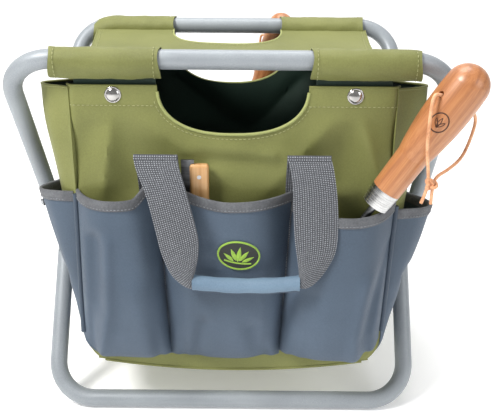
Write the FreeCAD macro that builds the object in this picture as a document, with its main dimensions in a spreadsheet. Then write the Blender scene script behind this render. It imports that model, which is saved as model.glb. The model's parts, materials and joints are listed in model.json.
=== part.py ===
"""Folding stool frame with a hanging garden tool bag, pockets, carry handles and hand tools.

Frame: millimetres, X to the right, Y to the back, Z up. The origin is on the ground, in the
middle of the stool, straight under the pivots. The stool is fully open.
"""

import FreeCAD, Part

import math
import os

import Sketcher

os.makedirs("parts", exist_ok=True)

Vector = FreeCAD.Vector
Rotation = FreeCAD.Rotation
Placement = FreeCAD.Placement

doc = FreeCAD.newDocument("garden_tool_bag")
sheet = doc.addObject("Spreadsheet::Sheet", "Dims")
nodes = {}

DIMENSIONS = {
    # steel frame
    "tube_dia": 18,
    "tube_wall": 1.5,
    "outer_width": 430,
    "inner_width": 391,
    "bar_spread": 246,
    "bar_height": 370,
    "foot_height": 9,
    "outer_bend": 46,
    "inner_bend": 40,
    "seam_drop": 60,
    "seam_gap": 1,
    "spigot_length": 60,
    "fit_gap": 0.05,
    "rivet_dia": 5.9,
    "rivet_hole": 6,
    "rivet_head_dia": 12,
    "rivet_head": 2,
    "washer_dia": 14,
    "washer": 1,
    "rub_gap": 0.15,
    # cloth bag
    "cloth": 1.8,
    "gusset_cloth": 1.5,
    "bag_shift": 3,
    "bag_width": 306,
    "bag_depth": 248,
    "bag_floor": 60,
    "bag_top": 346,
    "gusset_top": 340,
    "belly_sag": 14,
    "gusset_bulge": 10,
    "slide_gap": 1,
    "notch_depth": 40,
    "notch_top": 138,
    "notch_foot": 96,
    # sleeves round the bars, and their flaps
    "sleeve_radius": 13.5,
    "rear_sleeve_radius": 14,
    "sleeve_cloth": 1,
    "sleeve_rest": 1.6,
    "flap_cloth": 1.2,
    "flap_inset": 19,
    "flap_foot": 331,
    "flap_gap": 1.2,
    # seat
    "seat_width": 330,
    "seat_sag": 15,
    "seat_low": 351,
    "seat_cloth": 1.5,
    "front_scoop": 10,
    "rear_scoop": 44,
    "scoop_width": 130,
    # snap fasteners
    "snap_dia": 15.5,
    "snap_height": 338,
    "snap_rise": 3,
    "snap_post": 5.8,
    "snap_hole": 6,
    "socket_dia": 12,
    "stud_dia": 4,
    # pockets
    "pocket_stand": 2.3,
    "pocket_depth": 26,
    "tool_pocket_depth": 38,
    "pocket_cloth": 1.5,
    "binding": 10,
    "binding_thick": 2.4,
    "left_seam": 66,
    "right_seam": 55,
    "pocket_foot": 70,
    "tall_rim": 246,
    "tool_rim": 236,
    "left_side_rim": 238,
    "right_side_rim": 226,
    "side_pocket_depth": 7,
    "side_pocket_front": 119,
    "side_pocket_back": 30,
    # webbing and grips
    "strap_width": 40,
    "webbing": 1.5,
    "left_strap": 67,
    "right_strap": 73,
    "strap_bend": 248,
    "fold_height": 288,
    "fold_reach": 149.5,
    "hang_reach": 166,
    "grip_inset": 7.5,
    "grip_dia": 14,
    "grip_core": 8.8,
    "grip_height": 168,
    "grip_left": 41,
    "grip_right": 73,
    # emblem patch
    "emblem_width": 41,
    "emblem_height": 28,
    "emblem_thick": 1.2,
    # wood-handled tools
    "ferrule_length": 18,
    "ferrule_wall": 2.2,
    "shank_dia": 7,
    "blade_steel": 1.8,
    "thong_dia": 3,
    "thong_hole": 6,
    "knife_length": 96,
    "knife_thick": 9,
}


class Size:
    """A length or number from the sheet, with the expression that gives it."""

    def __init__(self, value, text):
        self.value = float(value)
        self.text = text

    @staticmethod
    def of(other):
        return other if isinstance(other, Size) else Size(other, f"({float(other)})")

    def join(self, other, sign, value):
        return Size(value, f"({self.text} {sign} {Size.of(other).text})")

    def __add__(self, other):
        return self.join(other, "+", self.value + Size.of(other).value)

    def __sub__(self, other):
        return self.join(other, "-", self.value - Size.of(other).value)

    def __mul__(self, other):
        return self.join(other, "*", self.value * Size.of(other).value)

    def __truediv__(self, other):
        return self.join(other, "/", self.value / Size.of(other).value)

    def __radd__(self, other):
        return Size.of(other) + self

    def __rsub__(self, other):
        return Size.of(other) - self

    def __rmul__(self, other):
        return Size.of(other) * self

    def __neg__(self):
        return Size(-self.value, f"(0 - {self.text})")

    def root(self):
        return Size(math.sqrt(self.value), f"sqrt({self.text})")


class Dims:
    """The sheet's cells by name."""

    def __init__(self, values):
        for row, (name, value) in enumerate(values.items(), 1):
            sheet.set(f"A{row}", name)
            sheet.set(f"B{row}", str(value))
            sheet.setAlias(f"B{row}", name)
            setattr(self, name, Size(value, f"Dims.{name}"))


D = Dims(DIMENSIONS)
doc.recompute()

ZERO = Size.of(0)
TUBE_R = D.tube_dia / 2
PIVOT_Z = (D.bar_height + D.foot_height) / 2
HALF_SPREAD = D.bar_spread / 2
HALF_RISE = (D.bar_height - D.foot_height) / 2
HALF_LEG = (HALF_SPREAD * HALF_SPREAD + HALF_RISE * HALF_RISE).root()
OUTER_X = (D.outer_width - D.tube_dia) / 2
INNER_X = (D.inner_width - D.tube_dia) / 2
LEAN = math.degrees(math.atan2(HALF_SPREAD.value, HALF_RISE.value))

BAG_HALF = D.bag_width / 2
FACE_Y = D.bag_depth / 2
POCKET_Y = FACE_Y + D.pocket_stand
FLAP_Y = FACE_Y - D.cloth - D.flap_gap


def chord_radius(chord, rise):
    """Radius of the arc that stands a rise above its chord."""
    return (chord * chord / 4 + rise * rise) / (2 * rise)


# ---------------------------------------------------------------- document helpers


def bind(item, **sizes):
    """Binds an object's properties, and x, y and z of its placement, to sheet expressions."""
    for name, size in sizes.items():
        path = f"Placement.Base.{name}" if name in ("x", "y", "z") else name
        item.setExpression(path, Size.of(size).text)
    return item


def node(name, item):
    """Makes an object one of the named pieces that are written out."""
    item.Label = name
    nodes[name] = item
    return item


def box(name, low, high):
    """A Part box between two corners, each a triple of sizes."""
    item = doc.addObject("Part::Box", name)
    spans = [Size.of(b) - Size.of(a) for a, b in zip(low, high)]
    bind(item, Length=spans[0], Width=spans[1], Height=spans[2])
    return bind(item, x=low[0], y=low[1], z=low[2])


AXIS_TURNS = {
    "x": Rotation(Vector(0, 1, 0), 90),
    "y": Rotation(Vector(1, 0, 0), -90),
    "z": Rotation(),
}


def cylinder(name, radius, start, length, axis="z"):
    """A Part cylinder from its start point, along +X, +Y or +Z."""
    item = doc.addObject("Part::Cylinder", name)
    item.Placement = Placement(Vector(), AXIS_TURNS[axis])
    bind(item, Radius=radius, Height=length)
    return bind(item, x=start[0], y=start[1], z=start[2])


def cut(name, base, tool):
    item = doc.addObject("Part::Cut", name)
    item.Base = base
    item.Tool = tool
    return item


def common(name, base, tool):
    item = doc.addObject("Part::Common", name)
    item.Base = base
    item.Tool = tool
    return item


def fuse(name, *shapes):
    item = doc.addObject("Part::MultiFuse", name)
    item.Shapes = list(shapes)
    return item


def group(name, *shapes):
    """Identical separate solids kept together in one piece."""
    item = doc.addObject("Part::Compound", name)
    item.Links = list(shapes)
    return item


def mirrored(name, source, normal):
    item = doc.addObject("Part::Mirroring", name)
    item.Source = source
    item.Normal = normal
    return item


def plane(body, role):
    return [f for f in body.Origin.OriginFeatures if f.Role == role][0]


def new_sketch(body, name, role, offset=None):
    sketch = body.newObject("Sketcher::SketchObject", name)
    sketch.AttachmentSupport = [(plane(body, role), "")]
    sketch.MapMode = "FlatFace"
    if offset is not None:
        sketch.setExpression("AttachmentOffset.Base.z", Size.of(offset).text)
    return sketch


def constrain(sketch, kind, where, size):
    """One dimension of a sketch, bound to the sheet."""
    number = sketch.addConstraint(Sketcher.Constraint(kind, *where, Size.of(size).value))
    sketch.setExpression(f"Constraints[{number}]", Size.of(size).text)


def pin_point(sketch, edge, end, x, y):
    constrain(sketch, "DistanceX", (-1, 1, edge, end), x)
    constrain(sketch, "DistanceY", (-1, 1, edge, end), y)


def outline(sketch, corners, arcs=None):
    """A closed outline through the corners.

    arcs gives, for an edge's number, its radius and the side it bulges to: +1 to the left of
    the way from its first corner to its second, -1 to the right.
    """
    arcs = arcs or {}
    ends = []
    points = [Vector(Size.of(x).value, Size.of(y).value, 0) for x, y in corners]
    for index, start in enumerate(points):
        finish = points[(index + 1) % len(points)]
        if index in arcs:
            radius, side = arcs[index]
            middle = arc_middle(start, finish, radius.value, side)
            edge = sketch.addGeometry(Part.Arc(start, middle, finish), False)
            constrain(sketch, "Radius", (edge,), radius)
            ends.append((edge, 2, 1) if side > 0 else (edge, 1, 2))
        else:
            edge = sketch.addGeometry(Part.LineSegment(start, finish), False)
            ends.append((edge, 1, 2))
        pin_point(sketch, edge, ends[-1][1], *corners[index])
    for index, (edge, _, last) in enumerate(ends):
        following, first, _ = ends[(index + 1) % len(ends)]
        sketch.addConstraint(Sketcher.Constraint("Coincident", edge, last, following, first))


def arc_middle(start, finish, radius, side):
    """The middle point of the shorter arc of that radius between two points."""
    chord = finish - start
    half = chord.Length / 2
    rise = radius - math.sqrt(max(radius * radius - half * half, 0))
    left = Vector(-chord.y, chord.x, 0).normalize()
    return (start + finish) * 0.5 + left * (rise * side)


def circle(sketch, x, y, radius):
    edge = sketch.addGeometry(Part.Circle(Vector(0, 0, 0), Vector(0, 0, 1), 1), False)
    constrain(sketch, "Radius", (edge,), radius)
    pin_point(sketch, edge, 3, x, y)


def pad(body, name, sketch, length, both_sides=False):
    item = body.newObject("PartDesign::Pad", name)
    item.Profile = sketch
    item.Midplane = both_sides
    return bind(item, Length=length)


def pocket(body, name, sketch):
    """A cut right through the body, both ways from the sketch."""
    item = body.newObject("PartDesign::Pocket", name)
    item.Profile = sketch
    item.Midplane = True
    item.Type = "ThroughAll"
    return item


def new_body(name):
    return doc.addObject("PartDesign::Body", name)


# ---------------------------------------------------------------- steel frame


def loop_turn(side):
    """Stands a flat loop up and leans it: +1 leans its top forward, -1 backward."""
    return Placement(Vector(), Rotation(Vector(1, 0, 0), 90 + side * LEAN))


def tube_half(name, half_width, bend, side, end):
    """Half a loop: its top bar (end +1) or bottom bar (end -1), bent into two legs."""
    body = new_body(name)
    spine = new_sketch(body, name + "_line", "XY_Plane")
    seam = D.seam_gap / 2 * end - D.seam_drop
    bar = HALF_LEG * end
    leg = half_width * end
    corners = [(leg, seam), (leg, bar), (-leg, bar), (-leg, seam)]
    points = [Vector(x.value, y.value, 0) for x, y in corners]
    edges = bent_route(points, [bend.value] * 2)
    for edge in edges:
        spine.addGeometry(edge, False)
    for index in range(len(edges) - 1):
        spine.addConstraint(Sketcher.Constraint("Tangent", index, 2, index + 1, 1))
    for line, way in ((0, "Vertical"), (2, "Horizontal"), (4, "Vertical")):
        spine.addConstraint(Sketcher.Constraint(way, line))
    for arc in (1, 3):
        constrain(spine, "Radius", (arc,), bend)
    pin_point(spine, 0, 1, *corners[0])
    pin_point(spine, 4, 2, *corners[3])
    constrain(spine, "DistanceY", (-1, 1, 2, 1), bar)
    section = new_sketch(body, name + "_section", "XZ_Plane", -seam)
    circle(section, leg, ZERO, TUBE_R)
    circle(section, leg, ZERO, TUBE_R - D.tube_wall)
    doc.recompute()
    pipe = body.newObject("PartDesign::AdditivePipe", name + "_tube")
    pipe.Profile = section
    pipe.Spine = (spine, [f"Edge{n + 1}" for n in range(len(edges))])
    pipe.Mode = "Standard"
    if end > 0:
        hole = new_sketch(body, name + "_rivet_hole", "YZ_Plane")
        circle(hole, ZERO, ZERO, D.rivet_hole / 2)
        pocket(body, name + "_holes", hole)
    body.Placement = loop_turn(side)
    return bind(node(name, body), z=PIVOT_Z)


def bent_route(points, radii):
    """Straight runs through the points, joined by tangent arcs of the given radii."""
    edges = []
    here = points[0]
    for before, corner, after, radius in zip(points, points[1:], points[2:], radii):
        back = (before - corner).normalize()
        ahead = (after - corner).normalize()
        half = back.getAngle(ahead) / 2
        reach = radius / math.tan(half)
        start = corner + back * reach
        finish = corner + ahead * reach
        centre = corner + (back + ahead).normalize() * (radius / math.sin(half))
        middle = centre + (corner - centre).normalize() * radius
        if (start - here).Length > 1e-6:
            edges.append(Part.LineSegment(here, start))
        edges.append(Part.Arc(start, middle, finish))
        here = finish
    edges.append(Part.LineSegment(here, points[-1]))
    return edges


def spigots(name, half_width, side):
    """The plugs inside a loop's two seams."""
    radius = TUBE_R - D.tube_wall - D.fit_gap
    low_end = -D.seam_drop - D.spigot_length / 2
    plug = cylinder(name + "_plug", radius, (half_width, low_end, ZERO), D.spigot_length, "y")
    pair = group(name + "_pair", plug, mirrored(name + "_left", plug, Vector(1, 0, 0)))
    pair.Placement = loop_turn(side)
    return bind(node(name, pair), z=PIVOT_Z)


def ring(name, outer, inner, start, length, axis="z"):
    """A flat ring or washer."""
    shift = {"x": 0, "y": 1, "z": 2}[axis]
    low = list(start)
    low[shift] = start[shift] - 1
    bore = cylinder(name + "_bore", inner, low, length + 2, axis)
    return cut(name + "_ring", cylinder(name + "_disc", outer, start, length, axis), bore)


def both_sides(name, right):
    return node(name, group(name + "_pair", right, mirrored(name + "_left", right, Vector(1, 0, 0))))


def pivots():
    """Rivets with their heads, washers and spacers, the same at both legs."""
    hole = D.rivet_hole / 2
    inner_face = INNER_X - TUBE_R
    outer_face = OUTER_X + TUBE_R
    between = INNER_X + TUBE_R
    washer_r = D.washer_dia / 2
    head_r = D.rivet_head_dia / 2
    at = lambda x: (x, ZERO, PIVOT_Z)
    both_sides(
        "pivot_outer_washers", ring("outer_washer", washer_r, hole, at(outer_face), D.washer, "x")
    )
    inner_washer_x = inner_face - D.rub_gap - D.washer
    both_sides(
        "pivot_inner_washers", ring("inner_washer", washer_r, hole, at(inner_washer_x), D.washer, "x")
    )
    spacer_x = between + D.rub_gap
    both_sides(
        "pivot_spacers",
        ring("spacer", washer_r, hole, at(spacer_x), OUTER_X - TUBE_R - D.rub_gap - spacer_x, "x"),
    )
    tail = inner_washer_x - D.rivet_head
    head = outer_face + D.washer
    rivet = fuse(
        "rivet",
        cylinder("rivet_shank", D.rivet_dia / 2, at(tail + 1), head - tail, "x"),
        cylinder("rivet_tail", head_r - 1, at(tail), D.rivet_head, "x"),
        cylinder("rivet_head", head_r, at(head), D.rivet_head, "x"),
    )
    both_sides("pivot_rivets", rivet)


def frame():
    tube_half("outer_frame_upper_tube", OUTER_X, D.outer_bend, 1, 1)
    tube_half("outer_frame_lower_tube", OUTER_X, D.outer_bend, 1, -1)
    tube_half("inner_frame_upper_tube", INNER_X, D.inner_bend, -1, 1)
    tube_half("inner_frame_lower_tube", INNER_X, D.inner_bend, -1, -1)
    spigots("outer_frame_spigots", OUTER_X, 1)
    spigots("inner_frame_spigots", INNER_X, -1)
    pivots()


# ---------------------------------------------------------------- cloth bag


def bag_panel(name, side, half_width, floor_lift, snaps):
    """Front (side -1) or back (side +1) panel, with its hand notch and curved lower edge."""
    body = new_body(name)
    shape = new_sketch(body, name + "_outline", "XZ_Plane")
    left = D.bag_shift - half_width
    right = D.bag_shift + half_width
    low = D.bag_floor + floor_lift
    notch = D.bag_top - D.notch_depth
    corners = [
        (left, low),
        (right, low),
        (right, D.bag_top),
        (D.bag_shift + D.notch_top / 2, D.bag_top),
        (D.bag_shift + D.notch_foot / 2, notch),
        (D.bag_shift - D.notch_foot / 2, notch),
        (D.bag_shift - D.notch_top / 2, D.bag_top),
        (left, D.bag_top),
    ]
    belly = chord_radius(2 * half_width, D.belly_sag)
    notch_round = chord_radius(D.notch_foot, D.notch_depth / 8)
    outline(shape, corners, {0: (belly, -1), 4: (notch_round, 1)})
    for x in snaps:
        circle(shape, x, D.snap_height, D.snap_hole / 2)
    pad(body, name + "_cloth", shape, D.cloth)
    return bind(node(name, body), y=D.cloth - FACE_Y if side < 0 else FACE_Y)


def bag_bottom():
    """The bottom, sagging across the bag, under the whole depth."""
    half = BAG_HALF - 2
    outer = chord_radius(2 * half, D.belly_sag)
    inner_y = FACE_Y - D.cloth
    centre = D.bag_floor - D.belly_sag + outer
    span = (D.bag_shift, -inner_y - 1, centre)
    tub = cylinder("bottom_arc", outer, span, 2 * inner_y + 2, "y")
    bore = cylinder("bottom_bore", outer - D.gusset_cloth, span, 2 * inner_y + 2, "y")
    trim = box(
        "bottom_trim",
        (D.bag_shift - half, -inner_y, D.bag_floor - 2 * D.belly_sag),
        (D.bag_shift + half, inner_y - D.fit_gap * 8, D.bag_floor),
    )
    node("bag_bottom", common("bottom", cut("bottom_sheet", tub, bore), trim))


def gusset_cylinder(name, radius, side, height):
    """A tall cylinder whose wall follows a side of the bag."""
    reach = BAG_HALF - 1 + D.gusset_bulge - gusset_radius()
    x = D.bag_shift + reach * side
    return cylinder(name, radius, (x, ZERO, D.bag_floor), height)


def gusset_radius():
    return chord_radius(2 * (FACE_Y - D.cloth), D.gusset_bulge)


def gusset(name, side):
    """A side panel bulging out between the front and back panels."""
    height = D.gusset_top - D.bag_floor
    inner_y = FACE_Y - D.cloth
    half = D.gusset_cloth / 2
    wall = cut(
        name + "_wall",
        gusset_cylinder(name + "_outer", gusset_radius() + half, side, height),
        gusset_cylinder(name + "_inner", gusset_radius() - half, side, height),
    )
    middle = D.bag_shift + side * BAG_HALF
    trim = box(
        name + "_trim",
        (middle - 2 * D.gusset_bulge, -inner_y, D.bag_floor),
        (middle + 2 * D.gusset_bulge, inner_y - D.fit_gap * 8, D.gusset_top),
    )
    node(name, common(name + "_sheet", wall, trim))


def d_prism(name, left, right, side, depth, foot, top):
    """A prism of D-shaped plan: flat towards the bag, an arc away from it."""
    radius = chord_radius(right - left, depth)
    middle = (left + right) / 2
    back = POCKET_Y * side
    centre = (POCKET_Y + depth - radius) * side
    post = cylinder(name + "_post", radius, (middle, centre, foot), top - foot)
    low, high = (back - depth, back) if side < 0 else (back, back + depth)
    return common(name, post, box(name + "_slab", (left, low, foot), (right, high, top)))


def front_pocket(name, left, right, side, depth, rim):
    """A gathered patch pocket, open at the top and against its panel at the back."""
    wall = D.pocket_cloth
    top = rim - D.binding
    outer = d_prism(name + "_outer", left, right, side, depth, D.pocket_foot, top)
    inner = d_prism(
        name + "_inner", left + wall, right - wall, side, depth - wall, D.pocket_foot + wall, top + 1
    )
    return node(name, cut(name + "_shell", outer, inner))


def pocket_binding(name, left, right, side, depth, rim):
    """The ribbed band along a patch pocket's rim."""
    wall = D.binding_thick
    top = rim - D.binding
    outer = d_prism(name + "_outer", left, right, side, depth, top, rim)
    inner = d_prism(name + "_inner", left + wall, right - wall, side, depth - wall, top - 1, rim + 1)
    return cut(name, outer, inner)


def patch_pockets(prefix, side):
    """Three pockets and their bindings on the front or back panel."""
    left = D.bag_shift - BAG_HALF
    right = D.bag_shift + BAG_HALF
    tool = D.tool_pocket_depth if side < 0 else D.pocket_depth
    gap = D.fit_gap * 4
    spans = {
        "left": (left, -D.left_seam - gap, D.pocket_depth, D.tall_rim),
        "middle": (-D.left_seam + gap, D.right_seam - gap, D.pocket_depth, D.tall_rim),
        "right": (D.right_seam + gap, right, tool, D.tool_rim),
    }
    if side > 0:
        trim = D.slide_gap * 2.5
        spans["left"] = (left + trim, *spans["left"][1:])
        spans["right"] = (spans["right"][0], right - trim, *spans["right"][2:])
    bands = []
    for place, (low, high, depth, rim) in spans.items():
        name = f"{prefix}_{place}_pocket"
        front_pocket(name, low, high, side, depth, rim)
        bands.append(pocket_binding(name + "_band", low, high, side, depth, rim))
    node(f"{prefix}_pocket_bindings", group(f"{prefix}_bindings", *bands))


def side_prism(name, side, inset, foot, top):
    """A shallow D-shaped prism on a gusset's outside."""
    chord = D.side_pocket_front - D.side_pocket_back
    radius = chord_radius(chord, D.side_pocket_depth)
    middle = -(D.side_pocket_front + D.side_pocket_back) / 2
    reach = BAG_HALF + D.gusset_bulge + D.side_pocket_depth + 0.5 - radius
    post = cylinder(
        name + "_post", radius - inset, (D.bag_shift + reach * side, middle, foot), top - foot
    )
    edges = sorted(
        (D.bag_shift + side * (BAG_HALF - 4), D.bag_shift + side * (BAG_HALF + 40)),
        key=lambda size: size.value,
    )
    slab = box(
        name + "_slab",
        (edges[0], inset - D.side_pocket_front, foot),
        (edges[1], -D.side_pocket_back - inset, top),
    )
    return common(name, post, slab)


def side_pocket(name, side, rim):
    """A pocket sewn on a gusset, with its binding."""
    top = rim - D.binding
    height = top - D.pocket_foot
    outer = side_prism(name + "_outer", side, ZERO, D.pocket_foot, top)
    inner = side_prism(name + "_inner", side, D.pocket_cloth, D.pocket_foot + D.pocket_cloth, top + 1)
    against = gusset_radius() + D.gusset_cloth / 2 + D.fit_gap
    bag = gusset_cylinder(name + "_bag", against, side, height + D.pocket_foot)
    shell = cut(name + "_hollow", outer, inner)
    node(name, cut(name + "_shell", shell, bag))
    band_outer = side_prism(name + "_band_outer", side, ZERO, top, rim)
    band_inner = side_prism(name + "_band_inner", side, D.binding_thick, top - 1, rim + 1)
    band_bag = gusset_cylinder(name + "_band_bag", against, side, height + D.pocket_foot)
    band = cut(name + "_band_hollow", band_outer, band_inner)
    node(name + "_binding", cut(name + "_band", band, band_bag))


def seat_panel():
    """The seat sling between the bars, scooped out at the front and the back."""
    body = new_body("seat_panel")
    half = HALF_SPREAD - D.rear_sleeve_radius - 0.6
    low = D.seat_low
    high = D.seat_low + D.seat_sag
    section = new_sketch(body, "seat_section", "YZ_Plane")
    radius = chord_radius(2 * half, D.seat_sag)
    corners = [(-half, high), (half, high), (half, high + D.seat_cloth), (-half, high + D.seat_cloth)]
    outline(section, corners, {0: (radius, -1), 2: (radius, 1)})
    pad(body, "seat_sling", section, D.seat_width, both_sides=True)
    scoops = new_sketch(body, "seat_scoops", "XY_Plane", low)
    reach = D.scoop_width / 2
    for side, depth in ((-1, D.front_scoop), (1, D.rear_scoop)):
        edge = half * side
        slope = depth * 0.35
        outline(
            scoops,
            [
                (-reach, edge + side * 5),
                (reach, edge + side * 5),
                (reach - slope, edge - depth * side),
                (slope - reach, edge - depth * side),
            ],
        )
    pocket(body, "seat_cut_outs", scoops)
    node("seat_panel", body)


def sleeve(name, low, high, side, snap):
    """A loose sleeve round a bar, with its flap hanging inside the panel."""
    radius = D.sleeve_radius if side < 0 else D.rear_sleeve_radius
    hollow = radius - D.sleeve_cloth
    middle = D.bar_height + TUBE_R + D.sleeve_rest - hollow
    loop = ring(name, radius, hollow, (low, HALF_SPREAD * side, middle), high - low, "x")
    near, far = (-FLAP_Y, D.flap_cloth - FLAP_Y) if side < 0 else (FLAP_Y - D.flap_cloth, FLAP_Y)
    flap = box(
        name + "_flap",
        (low + D.flap_inset, near, D.flap_foot),
        (high - D.flap_inset, far, middle - radius + D.sleeve_cloth * 0.9),
    )
    hole = cylinder(name + "_hole", D.stud_dia / 2, (snap, near - 1, D.snap_height), D.flap_cloth + 2, "y")
    node(name, fuse(name + "_cloth", loop, cut(name + "_punched", flap, hole)))


SLEEVES = {
    "front_left_sleeve": (-162, -63, -1, -107),
    "front_right_sleeve": (74, 172, -1, 115),
    "rear_left_sleeve": (-152, -73, 1, -112),
    "rear_right_sleeve": (54, 152, 1, 106),
}


def sleeves():
    for name, (low, high, side, snap) in SLEEVES.items():
        sleeve(name, Size.of(low), Size.of(high), side, Size.of(snap))


def snap_fasteners(prefix, side):
    """Caps on the panel, their sockets behind it, and studs on the flaps."""
    caps, sockets, studs = [], [], []
    at = [s[3] for name, s in SLEEVES.items() if name.startswith(prefix)]
    inside = FACE_Y - D.cloth
    for number, x in enumerate(at):
        tag = f"{prefix}_snap_{number}"
        point = lambda y: (Size.of(x), y if side > 0 else -y, D.snap_height)
        sideways = lambda y0, y1: point(y0) if side > 0 else point(y1)
        cap = cylinder(tag + "_rim", D.snap_dia / 2, sideways(FACE_Y, FACE_Y + 1), Size.of(1), "y")
        dome = cylinder(
            tag + "_dome",
            D.snap_dia / 2 - 2,
            sideways(FACE_Y + 1, FACE_Y + D.snap_rise),
            D.snap_rise - 1,
            "y",
        )
        post = cylinder(
            tag + "_post", D.snap_post / 2, sideways(inside, FACE_Y), D.cloth, "y"
        )
        caps.append(fuse(tag + "_cap", cap, dome, post))
        sockets.append(
            ring(
                tag + "_socket",
                D.socket_dia / 2,
                D.snap_post / 2,
                sideways(FLAP_Y, inside),
                inside - FLAP_Y,
                "y",
            )
        )
        stem = cylinder(
            tag + "_stem",
            D.stud_dia / 2 - D.fit_gap,
            sideways(FLAP_Y - D.flap_cloth, inside - 0.1),
            D.flap_cloth + inside - FLAP_Y - 0.1,
            "y",
        )
        back = cylinder(
            tag + "_back",
            D.socket_dia / 2,
            sideways(FLAP_Y - D.flap_cloth - 1, FLAP_Y - D.flap_cloth),
            Size.of(1),
            "y",
        )
        studs.append(fuse(tag + "_stud", stem, back))
    node(f"{prefix}_snap_caps", group(f"{prefix}_caps", *caps))
    node(f"{prefix}_snap_sockets", group(f"{prefix}_sockets", *sockets))
    node(f"{prefix}_snap_studs", group(f"{prefix}_studs", *studs))


# ---------------------------------------------------------------- webbing


def strap_base(name, x, side):
    """Webbing sewn up the panel, then standing out to the fold that the handle hangs from."""
    body = new_body(name)
    section = new_sketch(body, name + "_section", "YZ_Plane")
    near = FACE_Y + D.fit_gap * 6
    far = near + D.webbing
    lean_y = D.fold_reach - D.webbing
    corners = [
        (near, D.pocket_foot),
        (far, D.pocket_foot),
        (far, D.strap_bend),
        (D.fold_reach, D.fold_height - 2),
        (lean_y, D.fold_height - 1),
        (near, D.strap_bend + 1),
    ]
    outline(section, [(y * side, z) for y, z in corners])
    pad(body, name + "_webbing", section, D.strap_width, both_sides=True)
    return bind(body, x=x)


# A hanging strap's height above the grip, and its two edges from the strap's middle line.
LEFT_STRAP_EDGES = ((118, -20, 20), (87, -5, 28), (44, 1, 39), (22, 8, 37.5), (-2, 22, 30))
RIGHT_STRAP_EDGES = ((118, -20, 20), (87, -15, 24), (51, -14, 28), (22, -9, 20), (-2, -5, 3))


def handle_webbing(prefix, side):
    """The hanging loop: two straps pinched into a round core that the grip is wrapped on."""
    body = new_body(f"{prefix}_handle_straps")
    low = D.grip_height
    straps = new_sketch(body, f"{prefix}_strap_outlines", "XZ_Plane")
    for middle, edges in ((-D.left_strap, LEFT_STRAP_EDGES), (D.right_strap, RIGHT_STRAP_EDGES)):
        down = [(middle + left, low + height) for height, left, _ in edges]
        up = [(middle + right, low + height) for height, _, right in reversed(edges)]
        outline(straps, down + up)
    pad(body, f"{prefix}_strap_pair", straps, D.webbing, both_sides=True)
    bind(body, y=D.hang_reach * side)
    core = cylinder(
        f"{prefix}_handle_core",
        D.grip_core / 2,
        (-D.grip_left, D.hang_reach * side, low),
        D.grip_left + D.grip_right,
        "x",
    )
    node(f"{prefix}_handle_webbing", fuse(f"{prefix}_webbing", body, core))
    start = (D.grip_inset - D.grip_left, D.hang_reach * side, low)
    wrap = ring(
        f"{prefix}_grip",
        D.grip_dia / 2,
        D.grip_core / 2 + D.fit_gap,
        start,
        D.grip_left + D.grip_right - 2 * D.grip_inset,
        "x",
    )
    node(f"{prefix}_grip", wrap)


def webbing():
    for prefix, side in (("front", -1), ("rear", 1)):
        left = strap_base(f"{prefix}_left_strap", -D.left_strap, side)
        right = strap_base(f"{prefix}_right_strap", D.right_strap, side)
        node(f"{prefix}_strap_bases", group(f"{prefix}_straps", left, right))
        handle_webbing(prefix, side)


EMBLEM_X = 9
EMBLEM_Z = 191


def emblem_patch():
    """An oval sewn on the middle front pocket, a little tilted."""
    body = new_body("emblem_patch")
    shape = new_sketch(body, "emblem_oval", "XZ_Plane")
    long_half = D.emblem_width / 2
    short_half = D.emblem_height / 2
    oval = Part.Ellipse(Vector(), long_half.value, short_half.value)
    edge = shape.addGeometry(oval, False)
    shape.exposeInternalGeometry(edge)
    shape.addConstraint(Sketcher.Constraint("Coincident", edge, 3, -1, 1))
    constrain(shape, "Distance", (edge + 1, 1, edge + 1, 2), D.emblem_width)
    constrain(shape, "Distance", (edge + 2, 1, edge + 2, 2), D.emblem_height)
    shape.addConstraint(Sketcher.Constraint("Horizontal", edge + 1))
    pad(body, "emblem_cloth", shape, D.emblem_thick)
    tilt = 10
    body.Placement = Placement(Vector(EMBLEM_X, 0, EMBLEM_Z), Rotation(Vector(0, 1, 0), tilt))
    bind(body, y=-(POCKET_Y + D.pocket_depth + D.webbing / 5))
    node("emblem_patch", body)


# ---------------------------------------------------------------- hand tools


def aimed(item, base, direction):
    """Puts an object's own origin at base with its own Z along direction."""
    item.Placement = Placement(base, Rotation(Vector(0, 0, 1), direction))
    return item


def turned_handle(name, base, aim, length, neck, swell, hole_at, hole_aim):
    """A turned wooden handle with a tenon in its ferrule and a cross hole for the thong."""
    body = new_body(name + "_wood")
    profile = new_sketch(body, name + "_profile", "XZ_Plane")
    tenon = neck - D.ferrule_wall - D.fit_gap
    shoulder = D.ferrule_length
    top = Size.of(length)
    dome = swell * 0.9
    corners = [
        (ZERO, shoulder / 3),
        (tenon, shoulder / 3),
        (tenon, shoulder),
        (neck, shoulder),
        (neck + 0.6, shoulder + length * 0.25),
        (Size.of(swell), top - dome),
        (ZERO, top),
    ]
    arcs = {4: (Size.of(length * 2), -1), 5: (Size.of((swell**2 + dome**2) / (2 * dome)), -1)}
    outline(profile, corners, arcs)
    turn = body.newObject("PartDesign::Revolution", name + "_turned")
    turn.Profile = profile
    turn.ReferenceAxis = (profile, ["V_Axis"])
    aimed(body, base, aim)
    reach = 2 * swell
    bore = doc.addObject("Part::Cylinder", name + "_thong_hole")
    bind(bore, Radius=D.thong_hole / 2)
    bore.Height = 2 * reach
    aimed(bore, hole_at - hole_aim * reach, hole_aim)
    node(name, cut(name + "_drilled", body, bore))


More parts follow.
